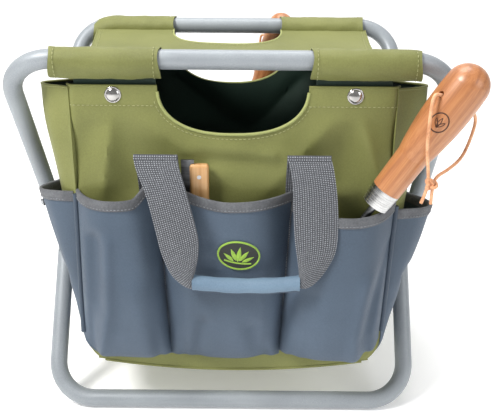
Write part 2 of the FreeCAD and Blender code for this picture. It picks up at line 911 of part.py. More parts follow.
def ferrule(name, base, aim, neck):
    """A tapered steel ferrule, bored for the shank below and the tenon above."""
    cone = doc.addObject("Part::Cone", name + "_cone")
    bind(cone, Radius1=neck - 1.2, Radius2=neck, Height=D.ferrule_length)
    shank = doc.addObject("Part::Cylinder", name + "_shank_bore")
    bind(shank, Radius=D.shank_dia / 2 + D.fit_gap, Height=D.ferrule_length / 2)
    socket = doc.addObject("Part::Cylinder", name + "_socket")
    bind(socket, Radius=neck - D.ferrule_wall, Height=D.ferrule_length)
    aimed(cone, base, aim)
    aimed(shank, base - aim * 1, aim)
    aimed(socket, base + aim * (D.ferrule_length.value / 3), aim)
    node(name, cut(name + "_bored", cut(name + "_cupped", cone, socket), shank))


def round_rod(points, radii, diameter):
    """A round rod or cord along straight runs joined by arcs."""
    path = Part.Wire([edge.toShape() for edge in bent_route(points, radii)])
    start = points[0]
    along = (points[1] - points[0]).normalize()
    section = Part.Wire([Part.Circle(start, along, diameter / 2).toShape()])
    return path.makePipeShell([section], True, False)


def blade_blank(name, corners, thickness, x, y):
    """A flat outline in the XZ plane, padded evenly to both sides."""
    body = new_body(name)
    shape = new_sketch(body, name + "_outline", "XZ_Plane")
    outline(shape, [(Size.of(a), Size.of(b)) for a, b in corners])
    pad(body, name + "_pad", shape, Size.of(thickness), both_sides=True)
    body.Placement = Placement(Vector(x, y, 0), Rotation())
    return body


def shank_feature(name, points, bend):
    item = doc.addObject("Part::Feature", name)
    item.Shape = round_rod(points, [bend], D.shank_dia.value)
    return item


def cord_radii(points, share=0.45):
    """Each bend as wide as its two runs allow."""
    radii = []
    for before, corner, after in zip(points, points[1:], points[2:]):
        shorter = min((corner - before).Length, (after - corner).Length)
        turn = (corner - before).getAngle(after - corner)
        radii.append(share * shorter / math.tan(turn / 2))
    return radii


def thong(name, route):
    """One strand of leather lace, from the middle of the handle's hole to its free end."""
    points = [Vector(*p) for p in route]
    radii = cord_radii(points)
    item = doc.addObject("Part::Feature", name)
    item.Shape = round_rod(points, radii, D.thong_dia.value)
    runs = bent_route(points, radii)
    length = sum(edge.length() for edge in runs)
    section = math.pi * D.thong_dia.value ** 2 / 4
    print(name, "radii", [round(r, 1) for r in radii], "length", round(length, 1))
    print(name, "volume over section times length", round(item.Shape.Volume / section / length, 4))
    node(name, item)


def knot(name, centre, length, radius):
    """The lump where the two strands are tied together."""
    item = doc.addObject("Part::Ellipsoid", name)
    item.Radius1 = length / 2
    item.Radius2 = radius
    item.Radius3 = radius
    item.Placement = Placement(centre, Rotation())
    node(name, item)


TROWEL_BASE = Vector(135, -150, 242.5)
TROWEL_AIM = Vector(78, -12, 126).normalize()
TROWEL_HOLE = TROWEL_BASE + TROWEL_AIM * 117
TROWEL_HOLE_AIM = Vector(-0.76, -0.5, 0.43).normalize()
TROWEL_X = 116

TROWEL_LEFT_THONG = [
    (196.4, -159.4, 341.6),
    (178.4, -172.1, 352.5),
    (172.5, -177, 348.5),
    (171, -181.5, 329),
    (170.5, -182, 306),
    (174.5, -180, 283),
    (175.5, -178.5, 268),
    (171, -177, 254),
]
TROWEL_RIGHT_THONG = [
    (196.4, -159.4, 341.6),
    (216.4, -147.1, 331.1),
    (221.5, -145.5, 322),
    (216, -149, 302),
    (208, -157, 289),
    (194, -168, 282),
    (181.5, -176, 278),
    (179.5, -177.5, 267),
    (180, -176, 253),
]

FORK_BASE = Vector(17, 143.8, 251)
FORK_AIM = Vector(40, 12, 120).normalize()
FORK_HOLE = FORK_BASE + FORK_AIM * 105
FORK_HOLE_AIM = Vector(-0.75, 0.6, 0.195).normalize()
FORK_X = 3

FORK_THONG = [
    (50, 153.7, 350.2),
    (33, 167.4, 354.7),
    (29.8, 170.4, 349.5),
    (30, 171.5, 334),
    (31.5, 171.5, 316),
    (30, 170.5, 301),
    (27, 169, 286),
]


def trowel():
    """A narrow transplanting trowel standing in the right front pocket."""
    neck, swell, length = 14, 19.5, 153
    turned_handle(
        "trowel_handle", TROWEL_BASE, TROWEL_AIM, length, neck, swell, TROWEL_HOLE, TROWEL_HOLE_AIM
    )
    ferrule("trowel_ferrule", TROWEL_BASE, TROWEL_AIM, Size.of(neck))
    bend = TROWEL_BASE - TROWEL_AIM * ((TROWEL_BASE.x - TROWEL_X) / TROWEL_AIM.x)
    half, top, foot, dish, deep = 21, 190, 82, 45, 30
    blank = blade_blank(
        "trowel_blank",
        [(-half, foot + 42), (-9, foot + 8), (0, foot), (9, foot + 8), (half, foot + 42),
         (half, top - 14), (8, top), (-8, top), (-half, top - 14)],
        deep,
        TROWEL_X,
        bend.y,
    )
    axis = bend.y + dish - 0.9
    centre = (Size.of(TROWEL_X), Size.of(axis), Size.of(foot))
    curve = ring("trowel_dish", Size.of(dish), dish - D.blade_steel, centre, Size.of(top - foot))
    blade = common("trowel_scoop", blank, curve)
    end = TROWEL_BASE + TROWEL_AIM * (D.ferrule_length.value / 3 - 0.2)
    start = Vector(bend.x, bend.y, top - 24)
    shank = shank_feature("trowel_shank", [start, bend, end], 26)
    node("trowel_blade", fuse("trowel_steel", blade, shank))
    thong("trowel_thong_left", TROWEL_LEFT_THONG)
    thong("trowel_thong_right", TROWEL_RIGHT_THONG)
    knot("trowel_thong_knot", Vector(177.8, -178.2, 272), 14, 7.2)


def hand_fork():
    """A three-tined hand fork standing in the middle back pocket."""
    neck, swell, length = 12, 15.5, 138
    turned_handle("fork_handle", FORK_BASE, FORK_AIM, length, neck, swell, FORK_HOLE, FORK_HOLE_AIM)
    ferrule("fork_ferrule", FORK_BASE, FORK_AIM, Size.of(neck))
    foot, crotch, top, half, tine = 90, 160, 190, 22, 7
    corners = []
    for left in (-half, -tine / 2, half - tine):
        corners += [(left, crotch), (left + tine / 2 - 1, foot), (left + tine / 2 + 1, foot),
                    (left + tine, crotch)]
    corners += [(half, top - 10), (8, top), (-8, top), (-half, top - 10)]
    bend = FORK_BASE - FORK_AIM * ((FORK_BASE.x - FORK_X) / FORK_AIM.x)
    tines = blade_blank("fork_blank", corners, 2 * D.blade_steel.value, FORK_X, bend.y)
    end = FORK_BASE + FORK_AIM * (D.ferrule_length.value / 3 - 0.2)
    start = Vector(FORK_X, bend.y, top - 20)
    shank = shank_feature("fork_shank", [start, bend, end], 24)
    node("fork_head", fuse("fork_steel", tines, shank))
    thong("fork_thong", FORK_THONG)
    knot("fork_thong_knot", Vector(30.3, 170.7, 304), 11, 5)


KNIFE_LEFT = -45.5
KNIFE_RIGHT = -19.5
KNIFE_Y = -132.5
KNIFE_TOP = 275


def pocket_knife():
    """A small folding knife with a wooden handle, in the middle front pocket."""
    left, right, y, top = KNIFE_LEFT, KNIFE_RIGHT, KNIFE_Y, KNIFE_TOP
    half = D.knife_thick / 2
    foot = top - D.knife_length
    block = box("knife_block", (Size.of(left + 8), y - half, foot), (Size.of(right), y + half, Size.of(top)))
    rounded = doc.addObject("Part::Fillet", "knife_rounded")
    doc.recompute()
    rounded.Base = block
    rounded.Edges = [(n, 3.0, 3.0) for n in range(1, 13)]
    steel = D.blade_steel / 2
    slot = box(
        "knife_slot",
        (Size.of(left), y - steel - D.fit_gap, foot + 6),
        (Size.of(right - 8), y + steel + D.fit_gap, Size.of(top + 1)),
    )
    pin_at = (Size.of(right - 9), y - half, Size.of(top - 12))
    hole = cylinder("knife_hole", Size.of(2), (pin_at[0], y - half - 1, pin_at[2]), D.knife_thick + 2, "y")
    node("knife_handle", cut("knife_bored", cut("knife_slotted", rounded, slot), hole))
    blade = box(
        "knife_leaf", (Size.of(left), y - steel, foot + 8), (Size.of(right - 14), y + steel, Size.of(top + 4))
    )
    node("knife_blade", blade)
    node("knife_rivet", cylinder("knife_pin", Size.of(2) - D.fit_gap, pin_at, D.knife_thick, "y"))


# ---------------------------------------------------------------- build and write


def build():
    frame()
    fronts = [Size.of(s[3]) for name, s in SLEEVES.items() if name.startswith("front")]
    rears = [Size.of(s[3]) for name, s in SLEEVES.items() if name.startswith("rear")]
    bag_panel("bag_front_panel", -1, BAG_HALF, ZERO, fronts)
    bag_panel("bag_back_panel", 1, BAG_HALF - 2.5 * D.slide_gap, D.gusset_cloth + D.slide_gap, rears)
    bag_bottom()
    gusset("left_gusset", -1)
    gusset("right_gusset", 1)
    seat_panel()
    sleeves()
    snap_fasteners("front", -1)
    snap_fasteners("rear", 1)
    patch_pockets("front", -1)
    patch_pockets("rear", 1)
    side_pocket("left_side_pocket", -1, D.left_side_rim)
    side_pocket("right_side_pocket", 1, D.right_side_rim)
    webbing()
    emblem_patch()
    trowel()
    hand_fork()
    pocket_knife()
    doc.recompute()


def check_and_write():
    faults = [o.Name for o in doc.Objects if "Invalid" in o.State or "Error" in o.State]
    for name, item in nodes.items():
        shape = item.Shape
        if shape.isNull() or not shape.isValid() or not shape.Solids:
            faults.append(name)
    if faults:
        raise SystemExit(f"these objects failed: {faults}")
    for name, item in nodes.items():
        item.Shape.exportStep(f"parts/{name}.step")
    print(len(nodes), "pieces written")


build()
check_and_write()
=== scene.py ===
"""A folding stool frame with a cloth garden tool bag: its soft goods, finishes, light and camera."""

import functools
import json
import math

import bmesh
import bpy
from mathutils import Matrix, Vector, noise


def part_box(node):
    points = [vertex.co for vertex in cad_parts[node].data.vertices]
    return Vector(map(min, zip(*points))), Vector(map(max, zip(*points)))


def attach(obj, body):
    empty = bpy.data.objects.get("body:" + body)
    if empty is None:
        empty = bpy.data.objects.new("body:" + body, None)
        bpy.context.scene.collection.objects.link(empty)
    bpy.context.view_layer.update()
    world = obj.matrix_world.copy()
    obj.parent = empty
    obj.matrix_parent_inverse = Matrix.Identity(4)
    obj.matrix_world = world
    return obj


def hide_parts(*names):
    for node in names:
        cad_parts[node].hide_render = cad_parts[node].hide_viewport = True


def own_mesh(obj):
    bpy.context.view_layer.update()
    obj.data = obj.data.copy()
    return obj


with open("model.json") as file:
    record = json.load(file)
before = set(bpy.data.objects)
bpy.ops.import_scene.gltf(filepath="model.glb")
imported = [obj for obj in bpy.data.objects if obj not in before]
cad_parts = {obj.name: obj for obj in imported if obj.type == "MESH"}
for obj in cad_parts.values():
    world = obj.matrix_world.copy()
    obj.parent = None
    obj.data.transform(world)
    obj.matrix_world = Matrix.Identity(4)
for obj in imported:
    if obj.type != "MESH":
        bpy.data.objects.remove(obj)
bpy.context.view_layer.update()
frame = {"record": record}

# ---------------------------------------------------------------- sizes from the frame


@functools.lru_cache(maxsize=None)
def low(node):
    """The lowest corner of a CAD piece's box, kept once it is measured."""
    return Vector(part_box(node)[0])


@functools.lru_cache(maxsize=None)
def high(node):
    """The highest corner of a CAD piece's box."""
    return Vector(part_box(node)[1])


LEFT = low("bag_front_panel").x
RIGHT = high("bag_front_panel").x
MIDDLE = (LEFT + RIGHT) / 2
HALF = (RIGHT - LEFT) / 2
FACE = -low("bag_front_panel").y
TOP = high("bag_front_panel").z
BELLY = low("bag_front_panel").z
FLOOR = low("left_gusset").z
GUSSET_TOP = high("left_gusset").z
POCKETS_TOP = high("front_pocket_bindings").z
TOOL_RIM = high("front_right_pocket").z + 0.010
LEFT_SEAM = high("front_left_pocket").x
RIGHT_SEAM = low("front_right_pocket").x
POCKET_BACK = FACE + 0.0023
BAG_CENTRE = Vector((MIDDLE, 0, (TOP + FLOOR) / 2))
SEAT_HALF = -low("seat_panel").y

# what the boxes don't give, in metres and shares
TUBE_RADIUS = 0.009
SNAP_RADIUS = 0.00775
BAR_Y = -low("outer_frame_upper_tube").y - TUBE_RADIUS
CLOTH = 0.0016
POCKET_CLOTH = 0.0014
HEM = 0.020
PANEL_GAP = 0.001  # between a gusset and the panels it meets
STITCH_LIFT = 0.0003
NOTCH_HALF = 0.0695
NOTCH_DEPTH = 0.0455
NOTCH_ROUND = 2.4  # 2 would be an ellipse; more is squarer
NOTCH_SEAM = 0.0045  # from the notch's edge to its stitches
LOOP_REACH = 0.0129  # from a bar's middle to the outside of the loop round it
REAR_LOOP_WIDTH = 1.28  # room for the rear bar to slide a little as the stool folds
SCOOP_HALF = 0.064
REAR_SCOOP = -0.0095  # the middle of the seat's rear cut-out
BELOW_RIM = 0.985  # how much of a pocket's height its cloth covers, below the tape's edge

# ---------------------------------------------------------------- shaping


def mix(a, b, share):
    """From a at share 0 to b at share 1."""
    return a + (b - a) * share


def ease(share):
    """0 up to share 0 and 1 from share 1 on, with a smooth rise between."""
    share = min(max(share, 0.0), 1.0)
    return share * share * (3 - 2 * share)


def hump(share, power=2.0):
    """0 at both ends of a span and 1 in its middle; a higher power is fuller."""
    return 1 - abs(2 * share - 1) ** power


def ripples(a, b, seed, across=14.0, along=7.0):
    """Soft folds of cloth, between about -1 and 1."""
    broad = noise.noise(Vector((a * across, b * along, seed)))
    small = noise.noise(Vector((a * across * 2.7, b * along * 2.9, seed + 5)))
    return broad + 0.35 * small


def crease(x, z, points, width):
    """1 on the line through the points, fading to 0 over width."""
    nearest = 1.0
    for start, end in zip(points, points[1:]):
        run = (end[0] - start[0], end[1] - start[1])
        spot = (x - start[0], z - start[1])
        share = (spot[0] * run[0] + spot[1] * run[1]) / (run[0] ** 2 + run[1] ** 2)
        share = min(max(share, 0.0), 1.0)
        nearest = min(nearest, math.hypot(spot[0] - run[0] * share, spot[1] - run[1] * share))
    return math.exp(-((nearest / width) ** 2))


def spline(points, steps):
    """A smooth line through the points, steps to each span."""
    ends = [Vector(p) for p in [points[0], *points, points[-1]]]
    line = []
    for a, b, c, d in zip(ends, ends[1:], ends[2:], ends[3:]):
        slope = c - a
        bend = 2 * a - 5 * b + 4 * c - d
        twist = 3 * b - a - 3 * c + d
        for step in range(steps):
            s = step / steps
            line.append(0.5 * (2 * b + slope * s + bend * s * s + twist * s ** 3))
    return line + [ends[-1]]


def shares(count):
    """From 0 to 1 in count equal steps."""
    return [k / count for k in range(count + 1)]


def route(count, point):
    """Points along a line: point(share), its share from 0 to 1."""
    return [point(share) for share in shares(count)]


def net(rows, columns, point):
    """Rows of points: point(u, v), u across and v up, each from 0 to 1."""
    return [[point(u, v) for u in shares(columns)] for v in shares(rows)]


def turns(count):
    """The angles of a full turn in count steps, without its end."""
    return [2 * math.pi * k / count for k in range(count)]


def fasten(piece, body, node=None):
    """Puts a piece on its body, in place of its CAD piece."""
    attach(piece, body)
    if node:
        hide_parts(node)
    return piece


def fold_in(piece, node=None):
    """Puts cloth that spans half in front of and behind the middle on the bag, with a mesh of its own."""
    fasten(piece, "bag", node)
    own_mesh(piece)


# ---------------------------------------------------------------- meshes


def lengths(points):
    """How far along a row each point lies."""
    total, spots = 0.0, [0.0]
    for a, b in zip(points, points[1:]):
        total += (b - a).length
        spots.append(total)
    return spots


def finish_mesh(name, work, looks, sharp=math.radians(50)):
    """Turns a bmesh into an object; edges bent more than sharp stay crisp."""
    bmesh.ops.recalc_face_normals(work, faces=work.faces)
    mesh = bpy.data.meshes.new(name)
    work.to_mesh(mesh)
    work.free()
    mesh.set_sharp_from_angle(angle=sharp)
    piece = bpy.data.objects.new(name, mesh)
    bpy.context.scene.collection.objects.link(piece)
    for look in looks:
        mesh.materials.append(look)
    return piece


def grid_normals(grid, inside, closed):
    """Unit normals of a grid's points, away from inside."""
    rows, columns = len(grid), len(grid[0])

    def neighbour(j, i):
        return grid[min(max(j, 0), rows - 1)][i % columns if closed else min(max(i, 0), columns - 1)]

    normals = []
    facing = 0.0
    for j in range(rows):
        line = []
        for i in range(columns):
            along = neighbour(j, i + 1) - neighbour(j, i - 1)
            up = neighbour(j + 1, i) - neighbour(j - 1, i)
            normal = along.cross(up)
            normal = normal.normalized() if normal.length > 0 else Vector((0, 0, 1))
            facing += normal.dot(grid[j][i] - inside)
            line.append(normal)
        normals.append(line)
    sign = 1 if facing > 0 else -1
    return [[normal * sign for normal in line] for line in normals]


def cloth(name, grid, thick, inside, looks, closed=False):
    """Cloth of its real thickness. grid holds its outer face's points, and looks its two sides."""
    normals = grid_normals(grid, inside, closed)
    work = bmesh.new()
    chart = work.loops.layers.uv.new("cloth")
    columns = len(grid[0])
    middle_row = grid[len(grid) // 2]
    across = lengths(middle_row + middle_row[:1])
    up = lengths([row[columns // 2] for row in grid])
    outer = [[work.verts.new(p) for p in row] for row in grid]
    inner = [
        [work.verts.new(p - n * thick) for p, n in zip(row, line)] for row, line in zip(grid, normals)
    ]
    steps = columns if closed else columns - 1

    def face(ring, material):
        made = work.faces.new([layer[j][i % columns] for layer, j, i in ring])
        made.material_index = material
        made.smooth = True
        for loop, (_, j, i) in zip(made.loops, ring):
            loop[chart].uv = (across[i], up[j])

    back = len(looks) - 1
    for j in range(len(grid) - 1):
        for i in range(steps):
            square = [(j, i), (j, i + 1), (j + 1, i + 1), (j + 1, i)]
            face([(outer, a, b) for a, b in square], 0)
            face([(inner, a, b) for a, b in square], back)
    for j in (0, len(grid) - 1):
        for i in range(steps):
            face([(outer, j, i), (outer, j, i + 1), (inner, j, i + 1), (inner, j, i)], 0)
    if not closed:
        for i in (0, columns - 1):
            for j in range(len(grid) - 1):
                face([(outer, j, i), (outer, j + 1, i), (inner, j + 1, i), (inner, j, i)], 0)
    return finish_mesh(name, work, looks)


def skin(name, rings, looks, sharp=math.radians(50)):
    """A closed skin over rings of points, with flat ends."""
    work = bmesh.new()
    chart = work.loops.layers.uv.new("cloth")
    count = len(rings[0])
    around = lengths(rings[len(rings) // 2] + rings[len(rings) // 2][:1])
    along = lengths([ring[0] for ring in rings])
    points = [[work.verts.new(p) for p in ring] for ring in rings]
    for j in range(len(rings) - 1):
        for i in range(count):
            square = [(j, i), (j, i + 1), (j + 1, i + 1), (j + 1, i)]
            made = work.faces.new([points[a][b % count] for a, b in square])
            made.smooth = True
            for loop, (a, b) in zip(made.loops, square):
                loop[chart].uv = (around[b], along[a])
    for end in (points[0], points[-1]):
        work.faces.new(end)
    return finish_mesh(name, work, looks, sharp)


def frames_along(path):
    """For each point of a path, two directions square to it that don't twist."""
    tangents = [
        (path[min(k + 1, len(path) - 1)] - path[max(k - 1, 0)]).normalized() for k in range(len(path))
    ]
    start = Vector((0, 0, 1)) if abs(tangents[0].z) < 0.9 else Vector((0, 1, 0))
    side = (start - tangents[0] * start.dot(tangents[0])).normalized()
    pairs = []
    for tangent in tangents:
        side = (side - tangent * side.dot(tangent)).normalized()
        pairs.append((side, tangent.cross(side)))
    return pairs


def strand(name, path, radius, look, sides=10, squash=1.0):
    """A round strand along a path, such as piping or a rolled edge."""
    rings = []
    for point, (side, up) in zip(path, frames_along(path)):
        rings.append(
            [point + (side * math.cos(a) + up * math.sin(a) * squash) * radius for a in turns(sides)]
        )
    return skin(name, rings, [look])


def stitches(name, path, look, pitch=0.0042, size=0.0028):
    """A row of thread stitches along a path."""
    spots = lengths(path)
    work = bmesh.new()
    work.loops.layers.uv.new("cloth")
    at, span = 0.0, 0
    while at + size < spots[-1]:
        ends = []
        for place in (at, at + size):
            while spots[span + 1] < place and span < len(spots) - 2:
                span += 1
            share = (place - spots[span]) / max(spots[span + 1] - spots[span], 1e-9)
            ends.append(path[span].lerp(path[span + 1], share))
        one_stitch(work, *ends)
        at += pitch
    return finish_mesh(name, work, [look], math.radians(80))


def one_stitch(work, start, end, thread=0.00035, sides=6):
    """A six-sided stitch that thins towards both ends."""
    along = (end - start).normalized()
    side = along.cross(Vector((0.31, 0.62, 0.72))).normalized()
    up = along.cross(side)
    rings = []
    for share, width in ((0.0, 0.35), (0.25, 1.0), (0.75, 1.0), (1.0, 0.35)):
        centre = start.lerp(end, share)
        reach = thread * width
        ring = [centre + (side * math.cos(a) + up * math.sin(a)) * reach for a in turns(sides)]
        rings.append([work.verts.new(spot) for spot in ring])
    for a, b in zip(rings, rings[1:]):
        for k in range(sides):
            after = (k + 1) % sides
            work.faces.new([a[k], a[after], b[after], b[k]]).smooth = True
    work.faces.new(rings[0])
    work.faces.new(rings[-1])


def lathe(profile, centre, direction, count=32):
    """Rings for a turned piece: profile gives (radius, height) pairs."""
    turn = Vector((0, 0, 1)).rotation_difference(Vector(direction)).to_matrix()
    return [
        [
            centre + turn @ Vector((radius * math.cos(angle), radius * math.sin(angle), height))
            for angle in turns(count)
        ]
        for radius, height in profile
    ]


def joined(name, parts):
    """Several pieces as one object."""
    with bpy.context.temp_override(active_object=parts[0], selected_editable_objects=parts):
        bpy.ops.object.join()
    parts[0].name = name
    return parts[0]


# ---------------------------------------------------------------- material nodes


def paint(red, green, blue):
    """A colour from its 0 to 255 display values."""

    def linear(value):
        share = value / 255
        return share / 12.92 if share <= 0.04045 else ((share + 0.055) / 1.055) ** 2.4

    return (linear(red), linear(green), linear(blue), 1.0)


def shader_of(look):
    return look.node_tree.nodes["Principled BSDF"]


def grey(level):
    return (level, level, level, 1.0)


def new_look(name, **shader_values):
    """A material; each value's name is its shader socket's, with underscores for spaces."""
    look = bpy.data.materials.new(name)
    look.use_nodes = True
    for key, value in shader_values.items():
        shader_of(look).inputs[key.replace("_", " ")].default_value = value
    return look


def put(look, kind, inputs=None, **settings):
    """Adds a node; its inputs are plain values or other nodes' outputs."""
    made = look.node_tree.nodes.new(kind)
    for key, value in settings.items():
        setattr(made, key, value)
    for key, value in (inputs or {}).items():
        if isinstance(value, bpy.types.NodeSocket):
            look.node_tree.links.new(value, made.inputs[key])
        else:
            made.inputs[key].default_value = value
    return made


def calc(look, operation, a, b=0.0, c=0.0):
    return put(look, "ShaderNodeMath", {0: a, 1: b, 2: c}, operation=operation).outputs[0]


def noise_at(look, place, scale, detail=3.0, stretch=(1, 1, 1), roughness=0.55):
    """Noise between 0 and 1, as fine as scale, squeezed by stretch."""
    spread = put(look, "ShaderNodeMapping", {"Vector": place, "Scale": stretch})
    inputs = {"Vector": spread.outputs[0], "Scale": scale, "Detail": detail, "Roughness": roughness}
    return put(look, "ShaderNodeTexNoise", inputs).outputs["Fac"]


def object_place(look):
    return put(look, "ShaderNodeTexCoord").outputs["Object"]


def cloth_place(look):
    """The two distances along the cloth, in metres."""
    chart = put(look, "ShaderNodeUVMap", uv_map="cloth").outputs["UV"]
    parts = put(look, "ShaderNodeSeparateXYZ", {0: chart})
    return parts.outputs["X"], parts.outputs["Y"]


def wave(look, distance, pitch):
    """A sine of the given pitch along a distance."""
    return calc(look, "SINE", calc(look, "MULTIPLY", distance, 2 * math.pi / pitch))


def ramp(look, share, stops):
    made = put(look, "ShaderNodeValToRGB", {0: share})
    bar = made.color_ramp
    while len(bar.elements) < len(stops):
        bar.elements.new(0.5)
    for element, (position, shade) in zip(bar.elements, stops):
        element.position = position
        element.color = shade
    return made.outputs["Color"]


def varied(look, tone, pattern, amount):
    """A tone with a pattern's swing about its middle added."""
    return calc(look, "MULTIPLY_ADD", calc(look, "SUBTRACT", pattern, 0.5), amount, tone)


def along_axis(look, axis):
    """The object's place, turned so that axis is its Z."""
    turn = Vector(axis).normalized().rotation_difference(Vector((0, 0, 1))).to_euler()
    inputs = {"Vector": object_place(look), "Rotation": turn}
    return put(look, "ShaderNodeMapping", inputs).outputs[0]


def wire(look, socket, name):
    look.node_tree.links.new(socket, shader_of(look).inputs[name])


def colour(look, tone, *stops):
    """Colours the surface by tone; each stop is a tone and its colour."""
    wire(look, ramp(look, tone, stops), "Base Color")


def relief(look, height, distance, strength, under=None):
    """Raises the surface by distance where height is 1, on top of another relief."""
    inputs = {"Height": height, "Distance": distance, "Strength": strength}
    if under:
        inputs["Normal"] = under
    normal = put(look, "ShaderNodeBump", inputs).outputs["Normal"]
    wire(look, normal, "Normal")
    return normal


# ---------------------------------------------------------------- finishes


def woven(name, dark, mid, light, thread=0.0009, sheen=0.05):
    """Coated plain-weave cloth: fine threads, a slow change of tone, soft handling marks."""
    look = new_look(
        name, Roughness=0.6, Specular_IOR_Level=0.4, Sheen_Weight=sheen, Sheen_Roughness=0.5
    )
    across, along = cloth_place(look)
    place = object_place(look)
    weave = calc(look, "MULTIPLY", wave(look, across, thread), wave(look, along, thread))
    slubs = noise_at(look, place, 700, 2.0)
    cloud = noise_at(look, place, 8, 3.0)
    tone = calc(look, "MULTIPLY_ADD", weave, 0.06, 0.5)
    tone = varied(look, tone, slubs, 0.22)
    tone = varied(look, tone, cloud, 0.55)
    colour(look, tone, (0.2, dark), (0.5, mid), (0.85, light))
    fine = relief(look, calc(look, "MULTIPLY_ADD", slubs, 0.5, weave), 0.0001, 0.4)
    crumple = noise_at(look, place, 24, 3.0)
    relief(look, crumple, 0.0022, 0.4, fine)
    return look


def webbing_look(name, dark, mid, light, pitch=0.0021, pick=0.0019):
    """Strap webbing: rows of raised, lighter picks in a square grid."""
    look = new_look(name, Roughness=0.8, Sheen_Weight=0.12)
    across, along = cloth_place(look)
    ribs = calc(look, "MULTIPLY_ADD", wave(look, across, pitch), 0.5, 0.5)
    picks = calc(look, "MULTIPLY_ADD", wave(look, along, pick), 0.5, 0.5)
    dots = calc(look, "MULTIPLY", ribs, picks)
    hairs = noise_at(look, object_place(look), 700, 2.0)
    tone = calc(look, "MULTIPLY_ADD", dots, 0.62, 0.22)
    tone = varied(look, tone, hairs, 0.4)
    colour(look, tone, (0.15, dark), (0.5, mid), (0.9, light))
    relief(look, calc(look, "MULTIPLY_ADD", hairs, 0.4, dots), 0.0004, 0.8)
    return look


def ribbed_tape(name, dark, mid, light, pitch=0.0012):
    """Binding tape with fine ribs across it."""
    look = new_look(name, Roughness=0.8, Sheen_Weight=0.08)
    ribs = wave(look, cloth_place(look)[1], pitch)
    place = object_place(look)
    hairs = noise_at(look, place, 650, 2.0)
    worn = noise_at(look, place, 45, 3.0)
    tone = calc(look, "MULTIPLY_ADD", ribs, 0.08, 0.5)
    tone = varied(look, tone, hairs, 0.4)
    tone = varied(look, tone, worn, 0.5)
    colour(look, tone, (0.15, dark), (0.5, mid), (0.9, light))
    relief(look, calc(look, "MULTIPLY_ADD", hairs, 0.6, ribs), 0.0003, 0.6)
    return look


def enamel(name, dark, mid, light):
    """Sprayed enamel on steel tube: fine flakes, orange peel and a few rubbed places."""
    look = new_look(name, Metallic=0.12, Roughness=0.48, Coat_Weight=0.12, Coat_Roughness=0.3)
    place = object_place(look)
    flakes = noise_at(look, place, 1500, 1.0)
    cloud = noise_at(look, place, 14, 3.0)
    tone = calc(look, "MULTIPLY_ADD", flakes, 0.45, calc(look, "MULTIPLY", cloud, 0.5))
    colour(look, tone, (0.25, dark), (0.5, mid), (0.75, light))
    wire(look, ramp(look, cloud, [(0.35, grey(0.42)), (0.75, grey(0.56))]), "Roughness")
    peel = noise_at(look, place, 380, 2.0)
    relief(look, peel, 0.00006, 0.6)
    return look


def steel(name, dark, light, rough, axis=(0, 0, 1), brush=900):
    """Bare steel with fine brush lines square to axis, and faint stains."""
    look = new_look(name, Metallic=1.0, Roughness=rough)
    spun = along_axis(look, axis)
    lines = noise_at(look, spun, brush, 2.0, stretch=(0.06, 0.06, 1))
    stains = noise_at(look, spun, 60, 4.0)
    tone = calc(look, "MULTIPLY_ADD", lines, 0.5, calc(look, "MULTIPLY", stains, 0.5))
    colour(look, tone, (0.3, dark), (0.7, light))
    wire(look, ramp(look, tone, [(0.2, grey(rough * 0.7)), (0.8, grey(rough * 1.4))]), "Roughness")
    relief(look, lines, 0.00004, 0.5)
    return look


def wood(name, dark, mid, light, axis):
    """Varnished ash, its grain along axis."""
    look = new_look(name, Roughness=0.42, Coat_Weight=0.4, Coat_Roughness=0.25)
    spun = along_axis(look, axis)
    warp = noise_at(look, spun, 18, 2.0, stretch=(1, 1, 0.25))
    parts = put(look, "ShaderNodeSeparateXYZ", {0: spun})
    plank = calc(look, "MULTIPLY_ADD", warp, 0.012, parts.outputs["X"])
    rings = calc(look, "MULTIPLY_ADD", wave(look, plank, 0.0078), 0.5, 0.5)
    rings = calc(look, "POWER", rings, 2.2)
    pores = noise_at(look, spun, 900, 3.0, stretch=(1, 1, 0.035))
    cloud = noise_at(look, spun, 30, 3.0, stretch=(1, 1, 0.2))
    tone = calc(look, "MULTIPLY_ADD", rings, -0.16, 0.6)
    tone = varied(look, tone, pores, 0.55)
    tone = varied(look, tone, cloud, 0.5)
    colour(look, tone, (0.12, dark), (0.5, mid), (0.88, light))
    grain = calc(look, "ADD", pores, calc(look, "MULTIPLY", rings, 0.3))
    relief(look, grain, 0.00012, 0.5)
    return look


def leather(name, dark, mid, light):
    """Vegetable-tanned lace: pores, cracks and darker handled stretches."""
    look = new_look(name, Roughness=0.62, Sheen_Weight=0.1)
    place = object_place(look)
    grain = put(look, "ShaderNodeTexVoronoi", {"Vector": place, "Scale": 1300.0}).outputs["Distance"]
    cloud = noise_at(look, place, 90, 4.0)
    tone = calc(look, "MULTIPLY_ADD", grain, 0.25, cloud)
    colour(look, tone, (0.3, dark), (0.55, mid), (0.85, light))
    relief(look, calc(look, "ADD", grain, cloud), 0.0002, 0.6)
    return look


def thread_look(name, lit, shade):
    """Sewing thread, mottled by its twist."""
    look = new_look(name, Roughness=0.7, Sheen_Weight=0.3)
    strands = noise_at(look, object_place(look), 1800, 2.0)
    colour(look, strands, (0.3, shade), (0.7, lit))
    relief(look, strands, 0.0001, 0.6)
    return look


def embroidered(name, dark, light, pitch=0.0007):
    """Satin stitches laid side by side on a slant."""
    look = new_look(name, Roughness=0.55, Sheen_Weight=0.35)
    parts = put(look, "ShaderNodeSeparateXYZ", {0: object_place(look)})
    slant = calc(look, "ADD", parts.outputs["X"], calc(look, "MULTIPLY", parts.outputs["Z"], 0.6))
    rows = calc(look, "MULTIPLY_ADD", wave(look, slant, pitch), 0.5, 0.5)
    hairs = noise_at(look, object_place(look), 1200, 2.0)
    tone = calc(look, "MULTIPLY_ADD", rows, 0.5, calc(look, "MULTIPLY", hairs, 0.5))
    colour(look, tone, (0.2, dark), (0.75, light))
    relief(look, tone, 0.00025, 0.7)
    return look


